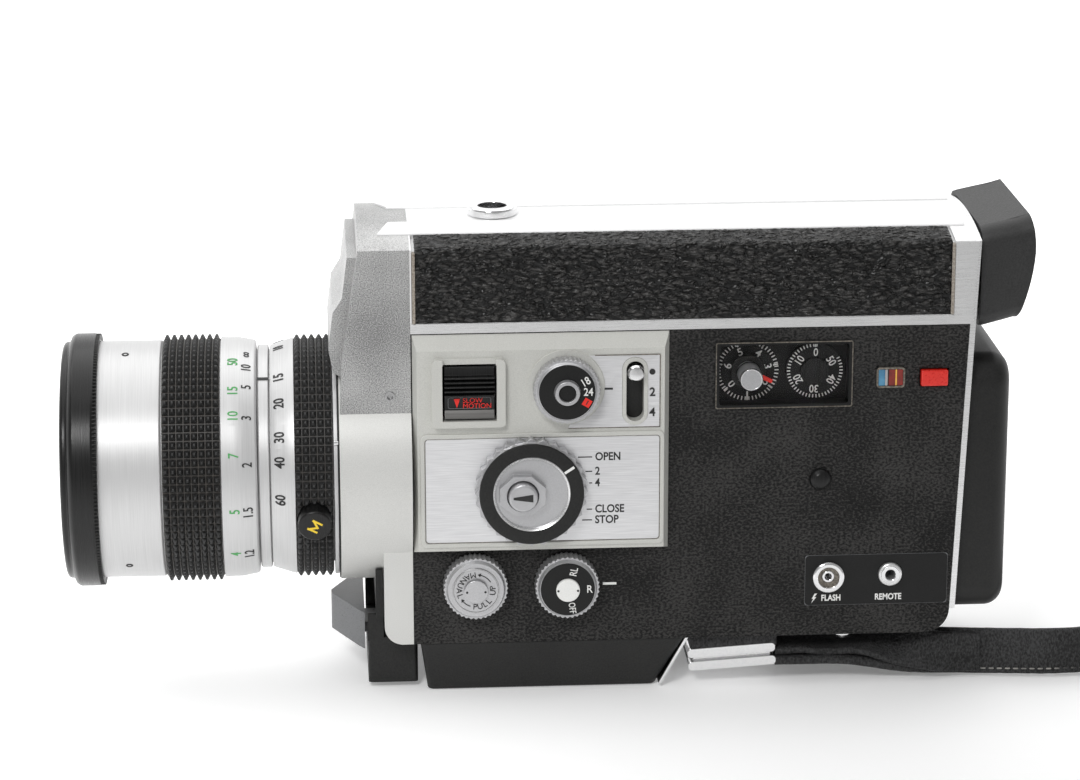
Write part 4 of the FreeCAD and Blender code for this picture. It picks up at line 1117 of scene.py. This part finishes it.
def make_outside():
    curve_eyecup(softened("eyecup", "black_rubber", 0.9))
    prism("strap_loop", [(32.6, 9.3), (53.8, 9.5), (53.8, 12.9), (33.4, 12.9)], -22.9, -12.0, "Y", CASE,
          "strap_leather", 0.4)
    softened("grip_front", "block_black", 0.6)
    softened("trigger", "dark_grey_plastic", 2.2)
    clasp = softened("strap_clasp", "chrome", 0.35)
    hinge = Vector((33.0, 0, 6.5)) * MM
    clasp.data.transform(Matrix.Translation(hinge) @ Matrix.Rotation(math.radians(-3.5), 4, "Y")
                         @ Matrix.Translation(-hinge))
    prism("clasp_plate", [(24.6, 0.8), (25.4, 0.6), (32.2, 12.7), (31.3, 12.9)], -23.5, -9.5, "Y", CASE,
          "chrome", 0.25)
    placed(turned("rest_stud", [(13.6, AXIS), (13.6, 2.1), (12.2, 2.1), (11.3, 1.4), (11.0, AXIS)], (0, 0), "Y",
                  CASE, "chrome", 40), (70.0, -21.6, 0), 90)


ROUTE = [(0.0536, -0.0170), (0.0780, -0.0170), (0.1040, -0.0200), (0.1300, -0.0226), (0.1500, -0.0140),
         (0.1550, 0.0070), (0.1430, 0.0220)]
STRAP_Z = 0.0061
STRAP_WIDE = 11.4
STRAP_THICK = 2.5
FOLD_POINTS = 52


def route_points():
    """Points along the smooth line of the strap's route, in metres."""
    data = bpy.data.curves.new("route", "CURVE")
    data.dimensions = "3D"
    data.resolution_u = 24
    line = data.splines.new("NURBS")
    line.points.add(len(ROUTE) - 1)
    for point, (x, y) in zip(line.points, ROUTE):
        point.co = (x, y, STRAP_Z, 1)
    line.order_u = 3
    line.use_endpoint_u = True
    holder = in_scene("route", data)
    points = [v.co.copy() for v in worked_out(holder).vertices]
    bpy.data.objects.remove(holder)
    return points


def resampled(points, step):
    """The same line with evenly spaced points."""
    made = [points[0]]
    left = step
    for a, b in zip(points, points[1:]):
        run = (b - a).length
        at = left
        while at < run:
            made.append(a.lerp(b, at / run))
            at += step
        left = at - run
    made.append(points[-1])
    return made


def strap_turn(s):
    """Angle of the band: flat at the clasp, standing on edge further on."""
    t = min(1.0, max(0.0, (s - 14.0) / 34.0))
    return math.radians(8 + 76 * t * t * (3 - 2 * t))


def band_section(wide, thick):
    """Outline of the band's cross-section with rounded edges."""
    return rounded(-wide / 2, wide / 2, -thick / 2, thick / 2, thick * 0.42, 5)


def sweep(name, frames, section, nodes=()):
    """Leather band with the same section all along its frames."""
    count = len(section)
    verts = [centre + across * a + out * b for centre, across, out in frames for a, b in section]
    faces = ring_faces(len(frames), count, False)
    faces.append(tuple(range(count)))
    faces.append(tuple(range((len(frames) - 1) * count, len(frames) * count)))
    piece = mesh_piece(name, verts, faces, CASE, "strap_leather", nodes, 40)
    grain_points(piece, 0.06)
    return piece


def band_frames(points, offset_turn=0.0):
    """Centre, across and outward directions along the strap, in millimetres."""
    frames = []
    s = 0.0
    for i, p in enumerate(points):
        before = points[max(0, i - 1)]
        after = points[min(len(points) - 1, i + 1)]
        if i:
            s += (p - points[i - 1]).length / MM
        run = (after - before).normalized()
        level = Vector((-run.y, run.x, 0)).normalized()
        angle = strap_turn(s) + offset_turn
        across = level * math.cos(angle) + Vector((0, 0, 1)) * math.sin(angle)
        out = run.cross(across).normalized()
        if out.z < 0 and angle < 1.4:
            out = -out
        frames.append((p / MM, across, out))
    return frames


def stitch(verts, faces, centre, along, out, size):
    """One short stitch: a small rounded bar."""
    side = along.cross(out).normalized()
    start = len(verts)
    for end, half in ((-0.5, 0.35), (-0.35, 1.0), (0.35, 1.0), (0.5, 0.35)):
        for k in range(6):
            t = math.tau * k / 6
            verts.append(centre + along * (end * size) + (side * math.cos(t) + out * math.sin(t)) * (0.2 * half))
    for i in range(3):
        for k in range(6):
            n = (k + 1) % 6
            faces.append((start + i * 6 + k, start + i * 6 + n, start + i * 6 + 6 + n, start + i * 6 + 6 + k))
    faces.append(tuple(start + k for k in range(6)))
    faces.append(tuple(start + 18 + k for k in range(5, -1, -1)))


def make_strap():
    points = resampled(route_points(), 0.001)
    frames = band_frames(points)
    strap = sweep("wrist_strap", frames, band_section(STRAP_WIDE, STRAP_THICK), ("strap",))
    fold_frames = []
    for i, (centre, across, out) in enumerate(band_frames(points[:FOLD_POINTS], 0.05)):
        fade = min(1.0, (FOLD_POINTS - 1 - i) / 14)
        lift = (STRAP_THICK + 0.1) * (0.35 + 0.65 * fade) + 0.45 * math.sin(i * 0.36) * fade * min(1.0, i / 8)
        fold_frames.append((centre + out * lift, across, out))
    fold = sweep("strap_fold", fold_frames, band_section(STRAP_WIDE - 1.4, STRAP_THICK - 0.5))
    verts, faces = [], []
    for i in range(30, len(frames) - 3, 2):
        centre, across, out = frames[i]
        along = (frames[i + 1][0] - frames[i][0]).normalized()
        for face in (-1, 1):
            spot = centre - across * (STRAP_WIDE / 2 - 1.5) + out * (face * (STRAP_THICK / 2 + 0.02))
            stitch(verts, faces, spot, along, out * face, 1.3)
    stitches = mesh_piece("strap_stitches", verts, faces, CASE, "thread")


def grain_points(piece, amount):
    """Small uneven swells, as soft leather has."""
    for v in piece.data.vertices:
        swell = noise.noise(v.co / MM * 0.55) + 0.5 * noise.noise(v.co / MM * 1.9)
        v.co += v.normal * (swell * amount * MM)


# ---------------------------------------------------------------- inner pieces keep their CAD shape

INNER = {
    "relay_lens": "optical_glass", "eyepiece_lens": "optical_glass", "battery_cells": "battery_wrap",
    "rotary_shutter": "black_satin", "motor_pinion": "brass", "motor": "steel", "chassis_plate": "steel",
    "takeup_spindle": "dark_grey_plastic", "circuit_board": "circuit_green",
}


def dress_inner():
    for node, material in INNER.items():
        piece = frame["nodes"][node]
        piece.data.materials.clear()
        piece.data.materials.append(MAT[material])


make_lens()
make_casing()
make_panel()
make_dials()
make_counters()
make_outside()
make_strap()
dress_inner()
